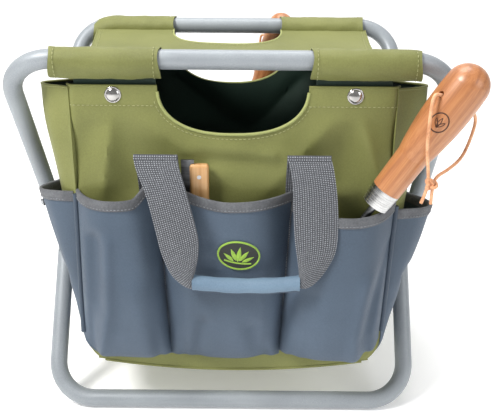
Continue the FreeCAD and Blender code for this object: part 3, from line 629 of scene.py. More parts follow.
OLIVE = woven("olive_cloth", paint(80, 82, 41), paint(116, 119, 65), paint(143, 145, 88))
SEAT_CLOTH = woven("seat_cloth", paint(80, 82, 42), paint(114, 117, 64), paint(141, 143, 87))
LINING = woven("dark_green_lining", paint(16, 30, 24), paint(28, 50, 40), paint(44, 70, 56), sheen=0.02)
PIPING = woven("light_olive_piping", paint(122, 127, 72), paint(152, 158, 98), paint(180, 185, 124))
BLUE = woven("blue_grey_cloth", paint(46, 57, 69), paint(68, 82, 98), paint(92, 107, 125))
WEBBING = webbing_look("grey_webbing", paint(48, 50, 54), paint(92, 95, 101), paint(176, 179, 184))
TAPE = ribbed_tape("grey_binding", paint(58, 59, 62), paint(92, 94, 98), paint(134, 136, 140))
WRAP = woven("light_blue_wrap", paint(78, 99, 118), paint(100, 123, 143), paint(126, 149, 167), 0.0013)
WELT = woven("dark_blue_welt", paint(38, 48, 60), paint(58, 71, 86), paint(80, 94, 110), 0.0012)
OLIVE_THREAD = thread_look("olive_thread", paint(176, 178, 122), paint(120, 122, 74))
GREY_THREAD = thread_look("grey_thread", paint(150, 154, 160), paint(84, 88, 94))
BLUE_THREAD = thread_look("blue_thread", paint(122, 138, 158), paint(72, 86, 104))
FIELD = embroidered("black_embroidery", paint(6, 8, 6), paint(22, 26, 20))
LIME = embroidered("lime_embroidery", paint(96, 132, 30), paint(160, 198, 66))
ENAMEL = enamel("grey_enamel", paint(124, 130, 135), paint(144, 150, 155), paint(162, 168, 172))
RIVET = steel("zinc_rivet", paint(150, 152, 155), paint(205, 207, 210), 0.32)
NICKEL = steel("nickel_snap", paint(140, 138, 136), paint(205, 203, 200), 0.14, axis=(0, 1, 0), brush=500)

# the way each handle points, of any length
HANDLE_AXIS = (78, -12, 126)
FORK_AXIS = (40, 12, 120)
ASH = wood("ash_handle", paint(122, 72, 39), paint(170, 110, 66), paint(198, 142, 94), HANDLE_AXIS)
FORK_ASH = wood("ash_fork_handle", paint(122, 72, 39), paint(170, 110, 66), paint(198, 142, 94), FORK_AXIS)
KNIFE_WOOD = wood("knife_wood", paint(160, 110, 62), paint(196, 148, 94), paint(218, 178, 128), (0, 0, 1))
FERRULE = steel("ferrule_steel", paint(150, 150, 150), paint(215, 215, 214), 0.26, axis=HANDLE_AXIS)
BLADE = steel("blade_steel", paint(70, 72, 75), paint(150, 152, 154), 0.3, brush=500)
SCORCH = new_look("scorched_wood", Base_Color=paint(74, 42, 24), Roughness=0.7)
LACE = leather("tan_lace", paint(150, 96, 62), paint(206, 146, 104), paint(232, 182, 142))

SLOT_LOOKS = {
    "frame_paint": ENAMEL,
    "rivet_steel": RIVET,
    "snap_metal": NICKEL,
    "tool_steel": FERRULE,
    "dark_steel": BLADE,
    "handle_wood": ASH,
}
# pieces whose finish isn't their slot's
NODE_LOOKS = {"fork_handle": FORK_ASH, "knife_handle": KNIFE_WOOD}


def finish_cad_nodes():
    """The CAD pieces that stay get their finishes by material slot."""
    for part in frame["record"]["subparts"]:
        look = NODE_LOOKS.get(part["node"]) or SLOT_LOOKS.get(part["material_slot"])
        item = bpy.data.objects.get(part["node"])
        if look and item:
            item.data.materials.clear()
            item.data.materials.append(look)


# ---------------------------------------------------------------- camera and cords


def camera():
    """Where the picture is taken from: a little above the bars, straight in front."""
    place = (0.0206, -0.8028, 0.4843)
    yaw, pitch, roll = -0.0027, 0.363, -0.0075
    ahead = Vector((math.sin(yaw), math.cos(yaw), 0)) * math.cos(pitch)
    forward = ahead - Vector((0, 0, math.sin(pitch)))
    level = Vector((math.cos(yaw), -math.sin(yaw), 0))
    down = forward.cross(level)
    right = level * math.cos(roll) + down * math.sin(roll)
    up = level * math.sin(roll) - down * math.cos(roll)
    item = bpy.data.objects.new("camera", bpy.data.cameras.new("camera"))
    item.data.lens = 54.16
    item.data.sensor_width = 36
    turn = Matrix((right, up, -forward)).transposed().to_4x4()
    item.matrix_world = Matrix.Translation(place) @ turn
    bpy.context.scene.collection.objects.link(item)
    bpy.context.scene.camera = item


THONG = 0.003
# the laces' routes, from the hole in the handle to the bare end
TROWEL_LEFT_THONG = [
    (0.1964, -0.1594, 0.3416),
    (0.1784, -0.1721, 0.3525),
    (0.1725, -0.1770, 0.3485),
    (0.1710, -0.1815, 0.3290),
    (0.1705, -0.1820, 0.3060),
    (0.1745, -0.1800, 0.2830),
    (0.1755, -0.1785, 0.2680),
    (0.1710, -0.1770, 0.2540),
]
TROWEL_RIGHT_THONG = [
    (0.1964, -0.1594, 0.3416),
    (0.2164, -0.1471, 0.3311),
    (0.2215, -0.1455, 0.3220),
    (0.2160, -0.1490, 0.3020),
    (0.2080, -0.1570, 0.2890),
    (0.1940, -0.1680, 0.2820),
    (0.1815, -0.1760, 0.2780),
    (0.1795, -0.1775, 0.2670),
    (0.1800, -0.1760, 0.2530),
]
FORK_THONG = [
    (0.0500, 0.1537, 0.3502),
    (0.0330, 0.1674, 0.3547),
    (0.0298, 0.1704, 0.3495),
    (0.0300, 0.1715, 0.3340),
    (0.0315, 0.1715, 0.3160),
    (0.0300, 0.1705, 0.3010),
    (0.0270, 0.1690, 0.2860),
]


def thong(name, route, body):
    """A leather lace from the hole in a handle, hanging to its bare end."""
    curve = bpy.data.curves.new(name, "CURVE")
    curve.dimensions = "3D"
    curve.bevel_depth = THONG / 2
    curve.bevel_resolution = 4
    curve.resolution_u = 12
    curve.use_fill_caps = True
    line = curve.splines.new("NURBS")
    line.points.add(len(route) - 1)
    for point, place in zip(line.points, route):
        point.co = (*place, 1)
    line.order_u = 3
    line.use_endpoint_u = True
    curve.materials.append(LACE)
    piece = bpy.data.objects.new(name, curve)
    bpy.context.scene.collection.objects.link(piece)
    fasten(piece, body, name.replace("lace", "thong"))


def knot(name, node, body, tilt):
    """An overhand knot, drawn tight: a trefoil that fills the CAD knot's box."""
    centre = (low(node) + high(node)) / 2
    half = (high(node) - low(node)) / 2
    size = Matrix.Diagonal(half * 0.235)
    turned = Matrix.Rotation(tilt, 3, "Y")

    def trefoil(share):
        turn = 2 * math.pi * share
        across = math.sin(turn) + 2 * math.sin(2 * turn)
        up = math.cos(turn) - 2 * math.cos(2 * turn)
        return centre + turned @ (size @ Vector((across, -1.1 * math.sin(3 * turn), up)))

    return fasten(strand(name, route(72, trefoil), THONG * 0.56, LACE, 12), body, node)


def thongs():
    tied = knot("trowel_lace_knot", "trowel_thong_knot", "trowel", 0.6)
    thong("trowel_lace_left", TROWEL_LEFT_THONG, "trowel")
    thong("trowel_lace_right", TROWEL_RIGHT_THONG, "trowel")
    tied = knot("fork_lace_knot", "fork_thong_knot", "hand_fork", 0.2)
    thong("fork_lace", FORK_THONG, "hand_fork")


# ---------------------------------------------------------------- the bag's shell


def belly_at(x):
    """The height of the bag's lower edge, which sags in the middle."""
    return FLOOR - (FLOOR - BELLY) * hump((x - LEFT) / (RIGHT - LEFT))


def corner_tuck(z):
    """How far the bag's sides draw in as they near its floor."""
    most, reach = 0.013, 0.024
    return most * max(1 - (z - FLOOR + 0.002) / reach, 0.0) ** 2


def notch_middle(side):
    """The rear notch sits a little to the left of the front one."""
    return MIDDLE if side < 0 else MIDDLE - 0.008


def notch_at(x, side):
    """How far the hand notch dips below the panel's top edge."""
    reach = abs(x - notch_middle(side)) / NOTCH_HALF
    return NOTCH_DEPTH * (1 - reach ** NOTCH_ROUND) ** (1 / NOTCH_ROUND) if reach < 1 else 0.0


def spread_columns(left, right, middle, half, close):
    """Places from left to right, closest together round the ends of a cut-out."""
    columns = [mix(left, middle - half, k / 24) for k in range(24)]
    columns += [middle - half * math.cos(math.pi * k / close) for k in range(close)]
    return columns + [mix(middle + half, right, k / 24) for k in range(25)]


def snap_spots(prefix):
    """The middles of two snaps, across and up."""
    start, end = low(f"{prefix}_snap_caps"), high(f"{prefix}_snap_caps")
    height = (start.z + end.z) / 2
    return [(start.x + SNAP_RADIUS, height), (end.x - SNAP_RADIUS, height)]


def fan(x, z, spot, phase):
    """Folds that spread downward from a snap, where the cloth hangs."""
    spread = 0.85
    plain = 0.012
    angle = math.atan2(x - spot[0], spot[1] - z)
    reach = math.hypot(x - spot[0], spot[1] - z)
    ridges = 1 - 2 * abs(math.sin(angle * 3 + phase)) ** 0.9
    return ridges * math.exp(-((angle / spread) ** 2)) * ease((reach - plain) / 0.05)


def panel_bulge(x, z, side):
    """How far a panel's cloth stands out from its flat face."""
    prefix, seed = ("front", 3.0) if side < 0 else ("rear", 9.0)
    soft, ridge, upper, lower, fold_width = 0.0024, 0.0065, 0.0024, 0.0020, 0.007
    above_pockets = ease((z - POCKETS_TOP + 0.02) / 0.03)
    below_hem = ease((TOP - HEM - z) / 0.02)
    folds = soft * ripples(x, z, seed, 15, 8)
    for spot, phase in zip(snap_spots(prefix), (0.45, -1.0)):
        folds += ridge * fan(x, z, spot, phase)
    if side < 0:
        folds += upper * crease(x, z, ((-0.030, 0.290), (0.040, 0.282)), fold_width)
        folds -= lower * crease(x, z, ((-0.040, 0.276), (0.050, 0.270)), fold_width)
    hem = 0.0007 * ease((z - (TOP - HEM)) / 0.0015)
    return folds * above_pockets * below_hem + hem


def panel_point(x, z, side, half):
    """A point of a panel's outer face; the cloth turns back round the bag's corners."""
    turn = 0.008
    past = max(turn - half + abs(x - MIDDLE), 0)
    tuck = turn - math.sqrt(max(turn**2 - past**2, 0))
    drawn_in = MIDDLE + (x - MIDDLE) * (1 - corner_tuck(z) / HALF)
    return Vector((drawn_in, side * (FACE + panel_bulge(x, z, side) - tuck * 0.8), z))


def panel(name, side, half, body, node):
    """The front or back of the bag, with its hand notch, its piping and its stitching."""
    middle = notch_middle(side)
    columns = spread_columns(MIDDLE - half, MIDDLE + half, middle, NOTCH_HALF, 48)
    lift = Vector((0, side * STITCH_LIFT, 0))
    rows = 64

    def at(x, z):
        return panel_point(x, z, side, half)

    grid = []
    for j in range(rows + 1):
        row = []
        for x in columns:
            waver = 0.0015 * ripples(x, 0.3, 21) * ease(notch_at(x, side) / 0.02)
            row.append(at(x, mix(belly_at(x), TOP - notch_at(x, side) + waver, j / rows)))
        grid.append(row)
    piece = cloth(name, grid, CLOTH, BAG_CENTRE, [OLIVE, LINING])
    fasten(piece, body, node)
    edge = [at(x, TOP - notch_at(x, side)) for x in columns]
    notch = [p for p in edge if abs(p.x - middle) <= NOTCH_HALF * 0.9999]
    fasten(strand(name + "_notch_piping", notch, 0.0015, PIPING), body)
    for number, part in enumerate((edge[:25], edge[-25:])):
        rolled = [p - Vector((0, side * 0.0008, 0)) for p in part]
        tape = strand(f"{name}_top_edge_{number}", rolled, 0.0012, OLIVE, 8)
        fasten(tape, body)
        seam = [at(p.x, TOP - HEM + 0.002) + lift for p in part]
        fasten(stitches(f"{name}_hem_stitches_{number}", seam, OLIVE_THREAD), body)
    seam = []
    for p in notch[2:-2]:
        towards = Vector((middle - p.x, 0, TOP + 0.01 - p.z)).normalized()
        spot = p - towards * NOTCH_SEAM
        seam.append(at(spot.x, spot.z) + lift)
    fasten(stitches(f"{name}_notch_stitches", seam, OLIVE_THREAD), body)


def swell(share, centre, width):
    """1 at centre and fading to 0 on both sides of it."""
    return math.exp(-(((share - centre) / width) ** 2))


def gusset_x(y, z, side):
    """Where a gusset's outer face lies: it flares near the front, then folds in."""
    share = (y + FACE) / (2 * FACE)
    lift = (z - FLOOR) / (GUSSET_TOP - FLOOR)
    base = HALF - 0.002 + 0.010 * hump(share)
    flare = 0.016 * ease(lift * 1.6) + 0.012 * ease((lift - 0.55) / 0.4)
    front = flare * swell(share, 0.12, 0.12) * ease(share / 0.05)
    back = 0.008 * swell(share, 0.85, 0.12) * ease((1 - share) / 0.05)
    tuck = 0.010 * swell(share, 0.5, 0.10) * ease(lift * 1.4)
    folds = 0.0028 * ripples(y, z, 30 + side, 18, 8) * hump(share, 6)
    return MIDDLE + side * (base + front + back - tuck + folds - corner_tuck(z))


def gusset(tag, side):
    """A side of the bag, waved along its top."""

    def point(u, v):
        y = mix(PANEL_GAP - FACE, FACE - PANEL_GAP, u)
        top = GUSSET_TOP + 0.004 * math.cos(2 * math.pi * u) - 0.002 * hump(u)
        z = mix(FLOOR - 0.002, top, v)
        return Vector((gusset_x(y, z, side), y, z))

    node = f"{tag}_gusset"
    grid = net(44, 64, point)
    piece = cloth(node + "_cloth", grid, CLOTH, BAG_CENTRE, [OLIVE, LINING])
    fold_in(piece, node=node)
    top_row = [p - Vector((side * 0.0008, 0, 0)) for p in grid[-1]]
    fold_in(strand(node + "_cloth_top_hem", top_row, 0.0014, OLIVE, 8))


def bottom():
    """The bag's sagging floor, its front and back edges turned up."""

    def point(u, v):
        x = mix(LEFT + 0.012, RIGHT - 0.012, u)
        y = mix(PANEL_GAP - FACE, FACE - PANEL_GAP, v)
        turned_up = 0.003 * max(0.0, 1 - (FACE - abs(y)) / 0.006) ** 2
        sag = 0.0015 * abs(ripples(x, y, 41, 14, 14))
        return Vector((x, y, belly_at(x) - 0.0015 + turned_up + sag))

    piece = cloth("bottom_cloth", net(40, 48, point), CLOTH, BAG_CENTRE, [OLIVE, LINING])
    fold_in(piece, node="bag_bottom")


def shell_seams():
    """The seams down the corners, above the pockets, and along the lower edge."""
    corner = route(40, lambda share: mix(TOOL_RIM - 0.004, GUSSET_TOP, share))
    foot = route(80, lambda share: mix(LEFT + 0.019, RIGHT - 0.019, share))
    for side, body in ((-1, "bag"), (1, "bag_back")):
        for end, tag in ((-1, "left"), (1, "right")):
            x = MIDDLE + end * (HALF - 0.0015)
            y = side * (FACE - 0.006)
            path = [Vector((x + 0.0012 * ripples(z, 0.1, 50 + end), y, z)) for z in corner]
            fasten(strand(f"corner_seam_{body}_{tag}", path, 0.0019, OLIVE), body)
        path = [Vector((x, side * (FACE - 0.0012), belly_at(x) + 0.0008)) for x in foot]
        fasten(strand(f"lower_seam_{body}", path, 0.0020, OLIVE), body)


# ---------------------------------------------------------------- sleeves and seat


def sleeve(node):
    """A loose loop round a bar, with the flap that hangs inside the panel."""
    front = node.startswith("front")
    side = -1 if front else 1
    body = "bag" if front else "bag_back"
    wide = 1.0 if front else REAR_LOOP_WIDTH
    start, end = low(node), high(node)
    first = start.x - (0.018 if node == "rear_left_sleeve" else 0.0)
    centre = Vector((0, side * BAR_Y, end.z - LOOP_REACH - 0.0004))

    def around(x, angle, radius, droop):
        """A point of the loop; its lower half droops below the bar."""
        rise = math.cos(angle) * (droop if math.cos(angle) < 0 else 1)
        return centre + Vector((x, math.sin(angle) * radius * wide, rise * radius - bar_drop(x, front)))

    grid = []
    for share in shares(56):
        x = mix(first, end.x, share)
        near_end = abs(2 * share - 1) ** 6
        lip = 0.0004 * (ease(1 - share / 0.06) + ease((share - 0.94) / 0.06))
        pull = 0.0012 * near_end * (1 if share > 0.5 else -1)
        row = []
        for angle in turns(44):
            wrinkle = 0.0006 * ripples(x, angle * 0.02, 60 + len(node) + side, 60, 60)
            radius = LOOP_REACH - 0.0006 + lip + wrinkle
            spot = around(x, angle, radius, 1.32 - 0.12 * near_end)
            row.append(spot + Vector((pull * math.sin(angle * 2 + 0.5), 0, 0)))
        grid.append(row)
    inside = Vector(((first + end.x) / 2, centre.y, centre.z))
    looks = [SEAT_CLOTH, LINING]
    loop = cloth(node.replace("sleeve", "bar_loop"), grid, 0.001, inside, looks, closed=True)
    fasten(loop, body, node)
    flap(node, side, body, centre.z - LOOP_REACH)
    for share, tag in ((0.05, "start"), (0.95, "end")):
        x = mix(first, end.x, share)
        angles = route(40, lambda part: math.pi * (0.05 + 0.9 * part) * side)
        ring = [around(x, angle, LOOP_REACH + 0.0004, 1.25) for angle in angles]
        name = node.replace("sleeve", "loop_stitches_" + tag)
        fasten(stitches(name, ring, OLIVE_THREAD), body)


def bar_drop(x, front):
    """How far a bar has bent down towards its leg at x."""
    bend = 0.046 if front else 0.040
    node = "outer_frame_upper_tube" if front else "inner_frame_upper_tube"
    past = max(abs(x) - (high(node).x - TUBE_RADIUS - bend), 0.0)
    return bend - math.sqrt(bend**2 - past**2)


def flap(node, side, body, top):
    """The flap from a sleeve down inside the panel; the dark lining cloth on its outer face is painted
    shade for the shadow it hangs in under the loop.
    """
    inset = 0.005
    start, end = low(node), high(node)
    left = max(start.x + inset, LEFT + 0.007)
    right = min(end.x - inset, RIGHT - 0.007)

    def point(u, v):
        y = side * (0.1209 - 0.0004 * hump(u))
        return Vector((mix(left, right, u), y, mix(start.z, top + 0.0015, v)))

    name = node.replace("sleeve", "snap_flap")
    # the dark lining cloth on both faces is painted shade, for the shadow under the loop
    piece = cloth(name, net(12, 30, point), 0.0011, BAG_CENTRE, [LINING, LINING])
    fasten(piece, body)


def scoop(x, depth, centre):
    """How far a seat edge is cut back at x."""
    share = abs(x - centre) / SCOOP_HALF
    return depth * (1 - share**2.6) ** (1 / 2.6) if share < 1 else 0.0


def seat_point(x, y):
    """The seat's upper face: it sags between the bars and curls down at its sides."""
    middle = hump((y + SEAT_HALF) / (2 * SEAT_HALF))
    curl = 0.003 * ease((abs(x) - 0.140) / 0.028)
    folds = 0.0016 * ripples(x, y, 70, 12, 16)
    return Vector((x, y, high("seat_panel").z - 0.0006 + middle * (folds - 0.0150 - curl)))


def seat():
    """The sling between the bars, cut back at the middle of both."""
    half = SEAT_HALF + 0.0015
    wide = high("seat_panel").x
    grid = []
    for share in shares(48):
        middle = REAR_SCOOP * share
        pull = 0.003 * math.sin(math.pi * share)
        left = 0.001 - wide + pull
        right = wide - 0.002 - 0.009 * share - pull
        row = []
        for x in spread_columns(left, right, middle, SCOOP_HALF, 56):
            front = -half + scoop(x, 0.012, middle)
            rear = half - scoop(x, 0.046, middle)
            row.append(seat_point(x, mix(front, rear, share)))
        grid.append(row)
    inside = Vector((0, 0, low("seat_panel").z - 0.3))
    piece = cloth("seat_cloth_panel", grid, 0.0015, inside, [SEAT_CLOTH, LINING])
    fold_in(piece, "seat_panel")
    reach = SCOOP_HALF + 0.004
    lines = {
        "front": ([p for p in grid[0] if abs(p.x) < reach], 0.35),
        "rear": ([p for p in grid[-1] if abs(p.x - REAR_SCOOP) < reach], 0.35),
        "left": ([row[0] for row in grid], 1),
        "right": ([row[-1] for row in grid], 1),
    }
    for tag, (line, slant) in lines.items():
        look = PIPING if tag == "rear" else SEAT_CLOTH
        rolled = [p - Vector((0, 0, 0.0008)) for p in line]
        fold_in(strand(f"seat_edge_{tag}", rolled, 0.0013, look, 8))
        seam = []
        for p in line:
            spot = p + Vector((-p.x * slant, -p.y, 0)).normalized() * 0.006
            seam.append(seat_point(spot.x, spot.y) + Vector((0, 0, STITCH_LIFT)))
        row = stitches(f"seat_stitches_{tag}", seam, OLIVE_THREAD)
        fold_in(row)


# ---------------------------------------------------------------- patch pockets


class Pocket:
    """A gathered pocket on the front or back panel; its depths are at the foot, belly and rim."""

    def __init__(self, place, side, foot_span, rim_span, rim, depths, fullness, dents, lifts):
        self.place = place
        self.side = side
        self.foot_span = foot_span
        self.rim_span = rim_span
        self.foot = low("front_left_pocket").z + (0.004 if place == "right" else -0.001)
        self.rim = rim
        self.foot_depth, self.belly_depth, self.rim_depth = depths
        self.fullness = fullness
        self.dents = dents
        self.lifts = lifts

    def edges(self, v):
        """The pocket's left and right edges at v of its height."""
        return [mix(foot, rim, v) for foot, rim in zip(self.foot_span, self.rim_span)]

    def depth(self, u, v):
        """How far the pocket stands out; it is fullest at belly of its height."""
        belly = 0.42
        if v < belly:
            rise = math.sin(v / belly * math.pi / 2) ** self.fullness
            reach = mix(self.foot_depth, self.belly_depth, rise)
        else:
            reach = mix(self.belly_depth, self.rim_depth, ease((v - belly) / (1 - belly)))
        return reach * hump(u, mix(5.0, 2.5, v))

    def corner(self, u):
        """How far a lower outer corner is rounded off."""
        near = {"left": u, "middle": 1, "right": 1 - u}[self.place]
        return 0.014 * max(1 - near / 0.16, 0.0) ** 2

    def rim_lift(self, u):
        """The rim is pulled up towards a strap at its left or right end."""
        return self.lifts[0] * (1 - ease(u / 0.55)) + self.lifts[1] * ease((u - 0.72) / 0.28)

    def outside(self, u, v):
        """The point on the pocket's outer face: u across, v up."""
        x = mix(*self.edges(v), u)
        z = mix(self.foot + self.corner(u), self.rim - 0.003 * hump(u) + self.rim_lift(u), v)
        folds = 0.0024 * ripples(x, z, 80 + self.rim_span[0] * 40 + self.side * 3, 17, 7)
        for place in (0.13, 0.87):
            folds -= 0.0045 * swell(u, place, 0.05) * math.exp(-v / 0.22)
        for points, width, size in self.dents:
            folds += size * crease(x, z, points, width)
        seam = 0.0025 * (1 - hump(u, 12))
        y = POCKET_BACK + self.depth(u, v) + folds * hump(u, 8) - seam
        return Vector((x, self.side * y, z))

    def face_at(self, x, z):
        """The outer face's place in front of a point of the panel."""
        v = (z - self.foot) / (self.rim - self.foot)
        left, right = self.edges(v)
        return self.outside((x - left) / (right - left), v)


def patch_pockets(side):
    """The three pockets of one panel; their seams lean outward towards the rim."""
    front = side < 0
    edge = HALF - (0.0 if front else 0.0065)
    left, right = MIDDLE - edge, MIDDLE + edge
    tool = 0.038 if front else 0.027
    lean = 0.005
    lap = 0.0006
    taper = 0.003
    spans = {
        "left": ((left, LEFT_SEAM + lean + lap), (left + taper, LEFT_SEAM - lean + lap)),
        "middle": (
            (LEFT_SEAM + lean - lap, RIGHT_SEAM - lean + lap),
            (LEFT_SEAM - lean - lap, RIGHT_SEAM + lean + lap),
        ),
        "right": ((RIGHT_SEAM - lean - lap, right - taper), (RIGHT_SEAM + lean - lap, right + taper)),
    }
    shapes = {
        "left": (POCKETS_TOP, (0.010, 0.029, 0.025), 0.6),
        "middle": (POCKETS_TOP, (0.010, 0.028, 0.0255), 0.6),
        "right": (TOOL_RIM, (0.021, tool + 0.001, tool - 0.0005), 0.35),
    }
    lifts = {
        "left": (0, 0.016 if front else 0.004),
        "middle": (0.013 if front else 0.004, 0),
        "right": (0, 0),
    }
    return {
        place: Pocket(
            place, side, *spans[place], *shapes[place], FRONT_DENTS[place] if front else (), lifts[place]
        )
        for place in spans
    }


FRONT_DENTS = {
    # each fold: the line it follows on the front, its width, and how far it stands out
    "left": (
        (((-0.129, 0.200), (-0.131, 0.135), (-0.144, 0.076)), 0.010, -0.0095),
        (((-0.117, 0.200), (-0.119, 0.130), (-0.131, 0.076)), 0.007, 0.0040),
        (((-0.090, 0.150), (-0.080, 0.080)), 0.012, 0.0030),
    ),
    "middle": (
        (((-0.034, 0.072), (-0.026, 0.115)), 0.008, -0.0045),
        (((0.030, 0.072), (0.022, 0.110)), 0.008, -0.0045),
        (((-0.050, 0.226), (-0.020, 0.205)), 0.009, -0.0025),
        (((0.000, 0.150), (0.010, 0.085)), 0.014, 0.0030),
    ),
    "right": (
        (
            ((0.157, 0.195), (0.146, 0.165), (0.139, 0.135), (0.134, 0.105), (0.137, 0.076)),
            0.0065, -0.0095,
        ),
        (((0.133, 0.165), (0.127, 0.130), (0.123, 0.078)), 0.008, 0.0035),
        (((0.078, 0.150), (0.074, 0.080)), 0.010, -0.0045),
    ),
}


def pocket_cloth(pocket, prefix, body):
    """A pocket's cloth, with its foot turned in against the panel."""
    columns, under = 64, 5
    back = POCKET_BACK - 0.0026

    def turned_in(u, share):
        lip = pocket.outside(u, 0.0)
        quarter = share * math.pi / 2
        y = back + (abs(lip.y) - back) * math.sin(quarter)
        return Vector((lip.x, pocket.side * y, lip.z - 0.003 * math.cos(quarter)))

    grid = [[turned_in(u, (j + 0.4) / under) for u in shares(columns)] for j in range(under)]
    grid += net(60, columns, lambda u, v: pocket.outside(u, v * BELOW_RIM))
    name = f"{prefix}_{pocket.place}_pocket"
    centre = Vector((MIDDLE, 0, 0.15))
    piece = cloth(name + "_cloth", grid, POCKET_CLOTH, centre, [BLUE, BLUE])
    fasten(piece, body, name)


def rim_face(outside, height, out):
    """Gives the cloth at a share of a pocket's width, a drop below its rim, and the way outward."""

    def face(share, drop):
        v = 1 - drop / height
        along = outside(min(share + 0.01, 1), v) - outside(max(share - 0.01, 0), v)
        outward = Vector((along.y, -along.x, 0)).normalized()
        return outside(share, v), outward if outward.dot(out) > 0 else -outward

    return face


def binding_band(name, columns, face):
    """Tape folded over a pocket's rim."""
    tall = 0.010
    inner = -POCKET_CLOTH
    outline = (
        (tall, 0.0002), (tall * 0.96, 0.0010), (tall * 0.5, 0.0011), (tall * 0.1, 0.0010),
        (0.0, 0.0005), (-0.0004, -0.0007), (0.0, inner - 0.0005), (tall * 0.1, inner - 0.0010),
        (tall * 0.5, inner - 0.0010), (tall * 0.96, inner - 0.0009), (tall, inner - 0.0002),
        (tall * 0.7, -0.0007),
    )

    def ring(share):
        points = []
        for drop, out in outline:
            spot, outward = face(share, max(drop, 0.0))
            points.append(spot + outward * out + Vector((0, 0, max(-drop, 0.0))))
        return points

    return skin(name, route(columns, ring), [TAPE], sharp=math.radians(60))


def band_stitches(name, count, margin, face):
    """The row of stitches along a binding tape, near its lower edge."""
    seam = []
    for share in route(count, lambda part: mix(margin, 1 - margin, part)):
        spot, outward = face(share, 0.0078)
        seam.append(spot + outward * 0.0013)
    return stitches(name, seam, GREY_THREAD, 0.0034, 0.0022)


def pocket_bindings(prefix, side, pockets, body):
    bands = []
    for place, pocket in pockets.items():
        face = rim_face(pocket.outside, pocket.rim - pocket.foot, Vector((0, side, 0)))
        bands.append(binding_band(f"{prefix}_{place}_band", 72, face))
        row = band_stitches(f"{prefix}_{place}_band_stitches", 60, 0.015, face)
        fasten(row, body)
    piece = joined(f"{prefix}_binding_tape", bands)
    fasten(piece, body, f"{prefix}_pocket_bindings")


def pocket_seams(prefix, side, pockets, body):
    """Stitching where the pockets are sewn to the panel, on a dark welt."""
    for name, u in (("left", 1.0), ("right", 0.0)):
        pocket = pockets[name]
        lift = Vector((0, side * 0.0004, 0))
        path = route(60, lambda share: pocket.outside(u, mix(0.02, 0.93, share)) + lift)
        row = stitches(f"{prefix}_{name}_seam_stitches", path, BLUE_THREAD)
        fasten(row, body)
        sunk = [p - lift * 4 for p in path]
        fasten(strand(f"{prefix}_{name}_seam_welt", sunk, 0.0014, WELT), body)


def corner_welts(pockets):
    """The bound seams at the front corners, between the patch pockets and the side pockets."""
    for name, u, inward in (("left", 0.0, -0.0012), ("right", 1.0, 0.0012)):
        spots = route(40, lambda share: pockets[name].outside(u, mix(0.05, 0.97, share)))
        path = [Vector((spot.x + inward, -(FACE + 0.0004), spot.z)) for spot in spots]
        fasten(strand(f"front_{name}_corner_welt", path, 0.0027, WELT), "bag")


def all_patch_pockets():
    for prefix, side, body in (("front", -1, "bag"), ("rear", 1, "bag_back")):
        pockets = patch_pockets(side)
        for pocket in pockets.values():
            pocket_cloth(pocket, prefix, body)
        pocket_bindings(prefix, side, pockets, body)
        pocket_seams(prefix, side, pockets, body)
        if side < 0:
            corner_welts(pockets)
            emblem(pockets["middle"])


# ---------------------------------------------------------------- side pockets


def side_pocket(tag, side):
    """A pocket on a gusset: it stands out most near the front, as if something had filled it."""
    node = f"{tag}_side_pocket"
    front, back = low(node).y, high(node).y
    foot = low(node).z - 0.001
    rim = high(node + "_binding").z
    spread = 0.024 if side > 0 else 0.017
    front_lift = 0.004 if side < 0 else 0.0
    turned_in = 3

    def outside(u, v):
        y = mix(front - 0.001, back, u)
        z = mix(foot, rim - 0.004 * hump(u) + front_lift * (1 - u), v)
        stand = (0.004 + spread * v) * math.sin(math.pi * u**0.62) ** 0.8 if 0 < u < 1 else 0.0
        folds = 0.0020 * ripples(y, z, 90 + side, 24, 10) * hump(u, 6)
        folds -= 0.005 * crease(y, z, ((-0.100, 0.150), (-0.060, 0.080)), 0.008) * hump(u, 4)
        x = gusset_x(y, min(z, GUSSET_TOP), side) + side * (0.0009 + stand + folds)
        return Vector((x, y, z))

    rows, columns = 48, 44
    grid = []
    for j in range(-turned_in, rows + 1):
        row = route(columns, lambda u: outside(u, max(j, 0) / rows * BELOW_RIM))
        if j < 0:
            for spot in row:
                against = gusset_x(spot.y, spot.z, side) - side * 0.0006
                spot.x = mix(spot.x, against, -j / turned_in)
                spot.z += j * 0.0006
        grid.append(row)
    piece = cloth(node + "_cloth", grid, POCKET_CLOTH, BAG_CENTRE, [BLUE, BLUE])
    fold_in(piece, node=node)
    face = rim_face(outside, rim - foot, Vector((side, 0, 0)))
    band = binding_band(f"{tag}_side_binding_tape", 56, face)
    fold_in(band, node=node + "_binding")
    fold_in(band_stitches(f"{tag}_side_band_stitches", 50, 0.02, face))


# ---------------------------------------------------------------- webbing handles


def ribbon(name, lefts, rights, bows, outward=-1):
    """Webbing between two edges; bows give how far its middle stands out from the edges."""
    steps = 10
    bow_line = spline([(bow, 0, 0) for bow in bows], steps)
    grid = []
    for a, b, bow in zip(spline(lefts, steps), spline(rights, steps), bow_line):
        grid.append(
            route(16, lambda share: a.lerp(b, share) + Vector((0, outward * bow.x * hump(share), 0)))
        )
    return cloth(name, grid, 0.0015, Vector((0, 0, 0.22)), [WEBBING, WEBBING])


